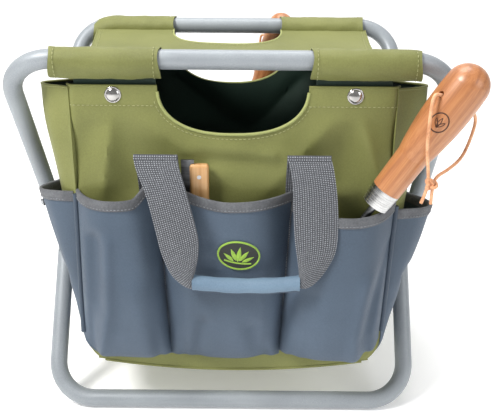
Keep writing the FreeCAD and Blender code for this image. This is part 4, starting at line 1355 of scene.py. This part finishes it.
LEFT_STRAP_DOWN = (
    # left edge (x, z), right edge (x, z), distance out, bow
    ((-0.0868, 0.2862), (-0.0472, 0.2862), 0.1500, 0.0),
    ((-0.0845, 0.2770), (-0.0450, 0.2785), 0.1560, 0.0004),
    ((-0.0755, 0.2540), (-0.0395, 0.2610), 0.1620, 0.0010),
    ((-0.0680, 0.2230), (-0.0330, 0.2360), 0.1655, 0.0012),
    ((-0.0625, 0.1980), (-0.0280, 0.2130), 0.1670, 0.0014),
    ((-0.0545, 0.1780), (-0.0285, 0.1950), 0.1675, 0.0026),
    ((-0.0440, 0.1665), (-0.0310, 0.1825), 0.1680, 0.0044),
    ((-0.0352, 0.1622), (-0.0325, 0.1752), 0.1676, 0.0040),
    ((-0.0285, 0.1642), (-0.0285, 0.1722), 0.1670, 0.0014),
)
RIGHT_STRAP_DOWN = (
    ((0.0532, 0.2862), (0.0928, 0.2862), 0.1500, 0.0),
    ((0.0555, 0.2785), (0.0950, 0.2770), 0.1560, 0.0004),
    ((0.0580, 0.2620), (0.0985, 0.2540), 0.1620, 0.0010),
    ((0.0592, 0.2330), (0.1003, 0.2260), 0.1655, 0.0012),
    ((0.0612, 0.2100), (0.0992, 0.2030), 0.1670, 0.0014),
    ((0.0636, 0.1945), (0.0935, 0.1880), 0.1675, 0.0026),
    ((0.0650, 0.1838), (0.0845, 0.1735), 0.1680, 0.0044),
    ((0.0652, 0.1755), (0.0740, 0.1642), 0.1676, 0.0040),
    ((0.0610, 0.1722), (0.0610, 0.1642), 0.1670, 0.0014),
)


def hanging_straps(prefix, side, body):
    """The webbing from the fold at its top down to the grip."""
    parts = []
    for tag, rows in (("left", LEFT_STRAP_DOWN), ("right", RIGHT_STRAP_DOWN)):
        lefts = [(a[0], side * out, a[1]) for a, _, out, _ in rows]
        rights = [(b[0], side * out, b[1]) for _, b, out, _ in rows]
        bows = [bow for *_, bow in rows]
        parts.append(ribbon(f"{prefix}_{tag}_strap", lefts, rights, bows, side))
    piece = joined(f"{prefix}_hanging_webbing", parts)
    fasten(piece, body, f"{prefix}_handle_webbing")


def standing_straps(prefix, side, body):
    """The sewn ends of the webbing, up the panel and out to the fold."""
    parts = []
    node = f"{prefix}_strap_bases"
    fold_z = high(node).z
    half = 0.0199
    path = (
        (FACE + 0.0019, 0.100), (FACE + 0.0019, 0.170), (FACE + 0.0019, 0.236),
        (FACE + 0.0040, 0.252), (FACE + 0.0120, 0.268), (FACE + 0.0195, 0.281),
        (FACE + 0.0240, fold_z - 0.0002), (FACE + 0.0258, fold_z - 0.0012), (0.1506, fold_z - 0.0034),
    )
    for tag, middle in (("left", -0.067), ("right", 0.073)):
        lefts = [(middle - half, side * out, z) for out, z in path]
        rights = [(middle + half, side * out, z) for out, z in path]
        parts.append(ribbon(f"{prefix}_{tag}_strap_foot", lefts, rights, [0.0] * len(path)))
        for offset, row in ((-0.0175, "a"), (0.0175, "b")):
            x, y = middle + offset, side * (FACE + 0.0021)
            seam = route(43, lambda share: Vector((x, y, mix(0.150, 0.236, share))))
            name = f"{prefix}_{tag}_strap_stitches_{row}"
            fasten(stitches(name, seam, GREY_THREAD), body)
    fasten(joined(f"{prefix}_sewn_webbing", parts), body, node)


def grip(prefix, side, body):
    """A cloth wrap round the pinched webbing, with a darker welt below it."""
    node = f"{prefix}_grip"
    start, end = low(node), high(node)
    y = (start.y + end.y) / 2
    rings, welt, seam = [], [], []
    for share in shares(60):
        x = mix(start.x - 0.001, end.x + 0.001, share)
        z = (start.z + end.z) / 2 + 0.0012 - 0.0034 * hump(share)
        fuller = 1 + 0.05 * hump(share, 6) + 0.03 * math.sin(share * 21)
        flare = 0.0008 * (ease(1 - share / 0.04) + ease((share - 0.96) / 0.04))
        ring = []
        for angle in turns(28):
            lap = 0.0006 * ease((math.cos(angle - 2.4 * side) - 0.2) / 0.5)
            wrinkle = 0.0003 * ripples(x, angle * 0.01, 101, 90, 60)
            radius = (0.0066 + lap) * fuller + flare + wrinkle
            ring.append(Vector((x, y + math.sin(angle) * radius * 0.94, z + math.cos(angle) * radius)))
        rings.append(ring)
        welt.append(Vector((x, y + side * 0.0010, z - 0.0071 * fuller)))
        seam.append(Vector((x, y + side * 0.0043, z - 0.0053)))
    wrap = skin(node + "_wrap", rings, [WRAP], sharp=math.radians(70))
    fasten(wrap, body, node)
    fasten(strand(node + "_welt", welt, 0.0014, WELT), body)
    row = stitches(node + "_stitches", seam[2:-2], BLUE_THREAD, 0.0036, 0.0024)
    fasten(row, body)


# ---------------------------------------------------------------- snaps and emblem


def snap_caps(prefix, side, body):
    """The two domed caps of one panel, each with a pressed ring round it."""
    node = f"{prefix}_snap_caps"
    profile = (
        (0.0078, -0.0006), (0.0078, 0.0006), (0.0074, 0.0011), (0.0066, 0.0013), (0.0062, 0.0010),
        (0.0058, 0.0014), (0.0048, 0.0021), (0.0034, 0.0026), (0.0018, 0.0029), (0.0004, 0.0030),
    )
    parts = []
    for number, (x, z) in enumerate(snap_spots(prefix)):
        rings = lathe(profile, Vector((x, side * (FACE + 0.0005), z)), (0, side, 0))
        parts.append(skin(f"{node}_{number}", rings, [NICKEL], sharp=math.radians(60)))
    fasten(joined(f"{prefix}_snap_domes", parts), body, node)


def emblem(pocket):
    """An oval patch with a stitched rim and a plain sprout on it."""
    node = "emblem_patch"
    centre = (low(node) + high(node)) / 2
    tilt = math.radians(10)
    long_half, short_half = 0.0205, 0.0140

    def spot(across, up, lift):
        """A point of the patch, lift in front of the pocket."""
        x = centre.x + across * math.cos(tilt) + up * math.sin(tilt)
        z = centre.z - across * math.sin(tilt) + up * math.cos(tilt)
        return Vector((x, pocket.face_at(x, z).y - lift, z))

    def oval(angle, share, lift):
        return spot(long_half * share * math.cos(angle), short_half * share * math.sin(angle), lift)

    shares = (0.02, 0.25, 0.5, 0.7, 0.85, 0.93, 0.96)
    grid = [[oval(angle, share, 0.0013) for angle in turns(48)] for share in shares]
    inside = Vector((centre.x, 0, centre.z))
    field = cloth("emblem_field", grid, 0.0012, inside, [FIELD, FIELD], closed=True)
    fasten(field, "bag", node)
    rim = route(72, lambda share: oval(2 * math.pi * share, 0.965, 0.0010))
    fasten(strand("emblem_rim", rim, 0.0010, LIME), "bag")
    for number, (root, tip, width) in enumerate(EMBLEM_LEAVES):
        leaf(f"emblem_leaf_{number}", Vector(root), Vector(tip), width, spot)
    ground = route(20, lambda u: spot(mix(-0.013, 0.013, u), -0.0062 - 0.0012 * hump(u), 0.0016))
    fasten(strand("emblem_ground", ground, 0.0008, LIME, 8), "bag")


EMBLEM_LEAVES = (
    # root and tip from the patch's centre, and the leaf's width
    ((0.0, -0.006), (0.0, 0.0088), 0.0042),
    ((-0.0015, -0.005), (-0.0085, 0.0056), 0.0038),
    ((0.0015, -0.005), (0.0085, 0.0056), 0.0038),
    ((-0.004, -0.006), (-0.0145, 0.0004), 0.0032),
    ((0.004, -0.006), (0.0145, 0.0004), 0.0032),
)


def leaf(name, root, tip, width, spot):
    """A padded leaf between two points of the patch, placed by spot."""
    along = tip - root
    side = Vector((-along.y, along.x)).normalized()

    def point(u, v):
        reach = width / 2 * (math.sin(math.pi * v**0.8) + 0.06)
        place = root + along * v + side * reach * (2 * u - 1)
        return spot(place.x, place.y, 0.0016 + 0.0005 * hump(u))

    piece = cloth(name, net(12, 6, point), 0.0004, Vector((0, 0, 0.19)), [LIME, LIME])
    fasten(piece, "bag")


def burnt_mark():
    """A plain leaf in a ring, burnt into the front of the trowel's handle."""
    handle = bpy.data.objects["trowel_handle"]
    back = handle.matrix_world.inverted()
    eye = bpy.context.scene.camera.location
    along = Vector(HANDLE_AXIS).normalized()
    middle = low("trowel_handle").lerp(high("trowel_handle"), 0.6)
    square = (middle - eye).normalized().cross(along).normalized()

    def on_handle(across, up):
        """The handle's skin where a line from the eye to this place meets it."""
        start = back @ eye
        aim = back @ (middle + square * across + along * up)
        hit, spot, normal, _ = handle.ray_cast(start, (aim - start).normalized())
        return handle.matrix_world @ (spot + normal * 0.0001) if hit else None

    def line(name, places, width):
        spots = [spot for spot in (on_handle(*place) for place in places) if spot]
        if len(spots) > 2:
            fasten(strand(name, spots, width, SCORCH, 6, 0.5), "trowel")

    ring = route(48, lambda share: 2 * math.pi * share)
    line("burnt_ring", [(0.0078 * math.sin(a), 0.0090 * math.cos(a)) for a in ring], 0.0006)
    for number, lean in enumerate((-0.0045, 0.0, 0.0045)):
        for side, tag in ((-1, "left"), (1, "right")):

            def edge(share):
                bulge = 0.0013 * math.sin(math.pi * share) * side
                return lean * share + bulge, mix(-0.005, 0.005, share) - 126 * lean**2 * share

            line(f"burnt_leaf_{number}_{tag}", route(12, edge), 0.0004)


# ---------------------------------------------------------------- stage and light


def stage():
    """A plain pale floor that rises behind the object."""
    look = new_look("pale_floor", Roughness=0.9, Emission_Color=grey(1.0), Emission_Strength=0.22)
    tone = noise_at(look, object_place(look), 3, 3.0)
    colour(look, tone, (0.3, grey(0.92)), (0.7, grey(0.95)))
    sweep = (
        (-3.0, 0.0), (0.6, 0.0), (1.0, 0.0), (1.4, 0.03), (1.8, 0.16), (2.1, 0.45), (2.2, 1.0), (2.25, 3.0),
    )
    grid = [[Vector((x, y, z - 0.0005)) for x in (-3.0, -1.0, 1.0, 3.0)] for y, z in sweep]
    cloth("floor", grid, 0.002, Vector((0, 0, -5)), [look, look])


def area_light(name, place, size, power, tint=(1, 1, 1)):
    """A soft lamp that faces the middle of the object."""
    aim = Vector((0, 0, 0.2))
    lamp = bpy.data.lights.new(name, "AREA")
    lamp.shape = "RECTANGLE"
    lamp.size, lamp.size_y = size
    lamp.energy = power
    lamp.color = tint
    item = bpy.data.objects.new(name, lamp)
    item.location = place
    item.rotation_euler = (aim - Vector(place)).to_track_quat("-Z", "Y").to_euler()
    bpy.context.scene.collection.objects.link(item)


def light():
    world = bpy.data.worlds.new("studio")
    world.use_nodes = True
    sky = world.node_tree.nodes["Background"]
    sky.inputs["Color"].default_value = grey(1.0)
    sky.inputs["Strength"].default_value = 0.42
    bpy.context.scene.world = world
    area_light("key", (-1.1, -0.9, 1.7), (0.6, 0.6), 46, (1, 0.985, 0.965))
    area_light("fill", (1.4, -1.2, 0.9), (1.0, 1.0), 9, (0.96, 0.98, 1))
    area_light("top", (0.0, 0.3, 1.9), (1.2, 0.9), 22)
    bpy.context.scene.view_settings.view_transform = "Standard"


# ---------------------------------------------------------------- make everything


camera()
thongs()
finish_cad_nodes()
panel("front_panel_cloth", -1, HALF, "bag", "bag_front_panel")
panel("back_panel_cloth", 1, HALF - 0.0025, "bag_back", "bag_back_panel")
gusset("left", -1)
gusset("right", 1)
bottom()
shell_seams()
for node in ("front_left_sleeve", "front_right_sleeve", "rear_left_sleeve", "rear_right_sleeve"):
    sleeve(node)
seat()
all_patch_pockets()
side_pocket("left", -1)
side_pocket("right", 1)
for prefix, side, body in (("front", -1, "bag"), ("rear", 1, "bag_back")):
    handle = f"{prefix}_handle"
    standing_straps(prefix, side, body)
    hanging_straps(prefix, side, handle)
    grip(prefix, side, handle)
    snap_caps(prefix, side, body)
burnt_mark()
stage()
light()
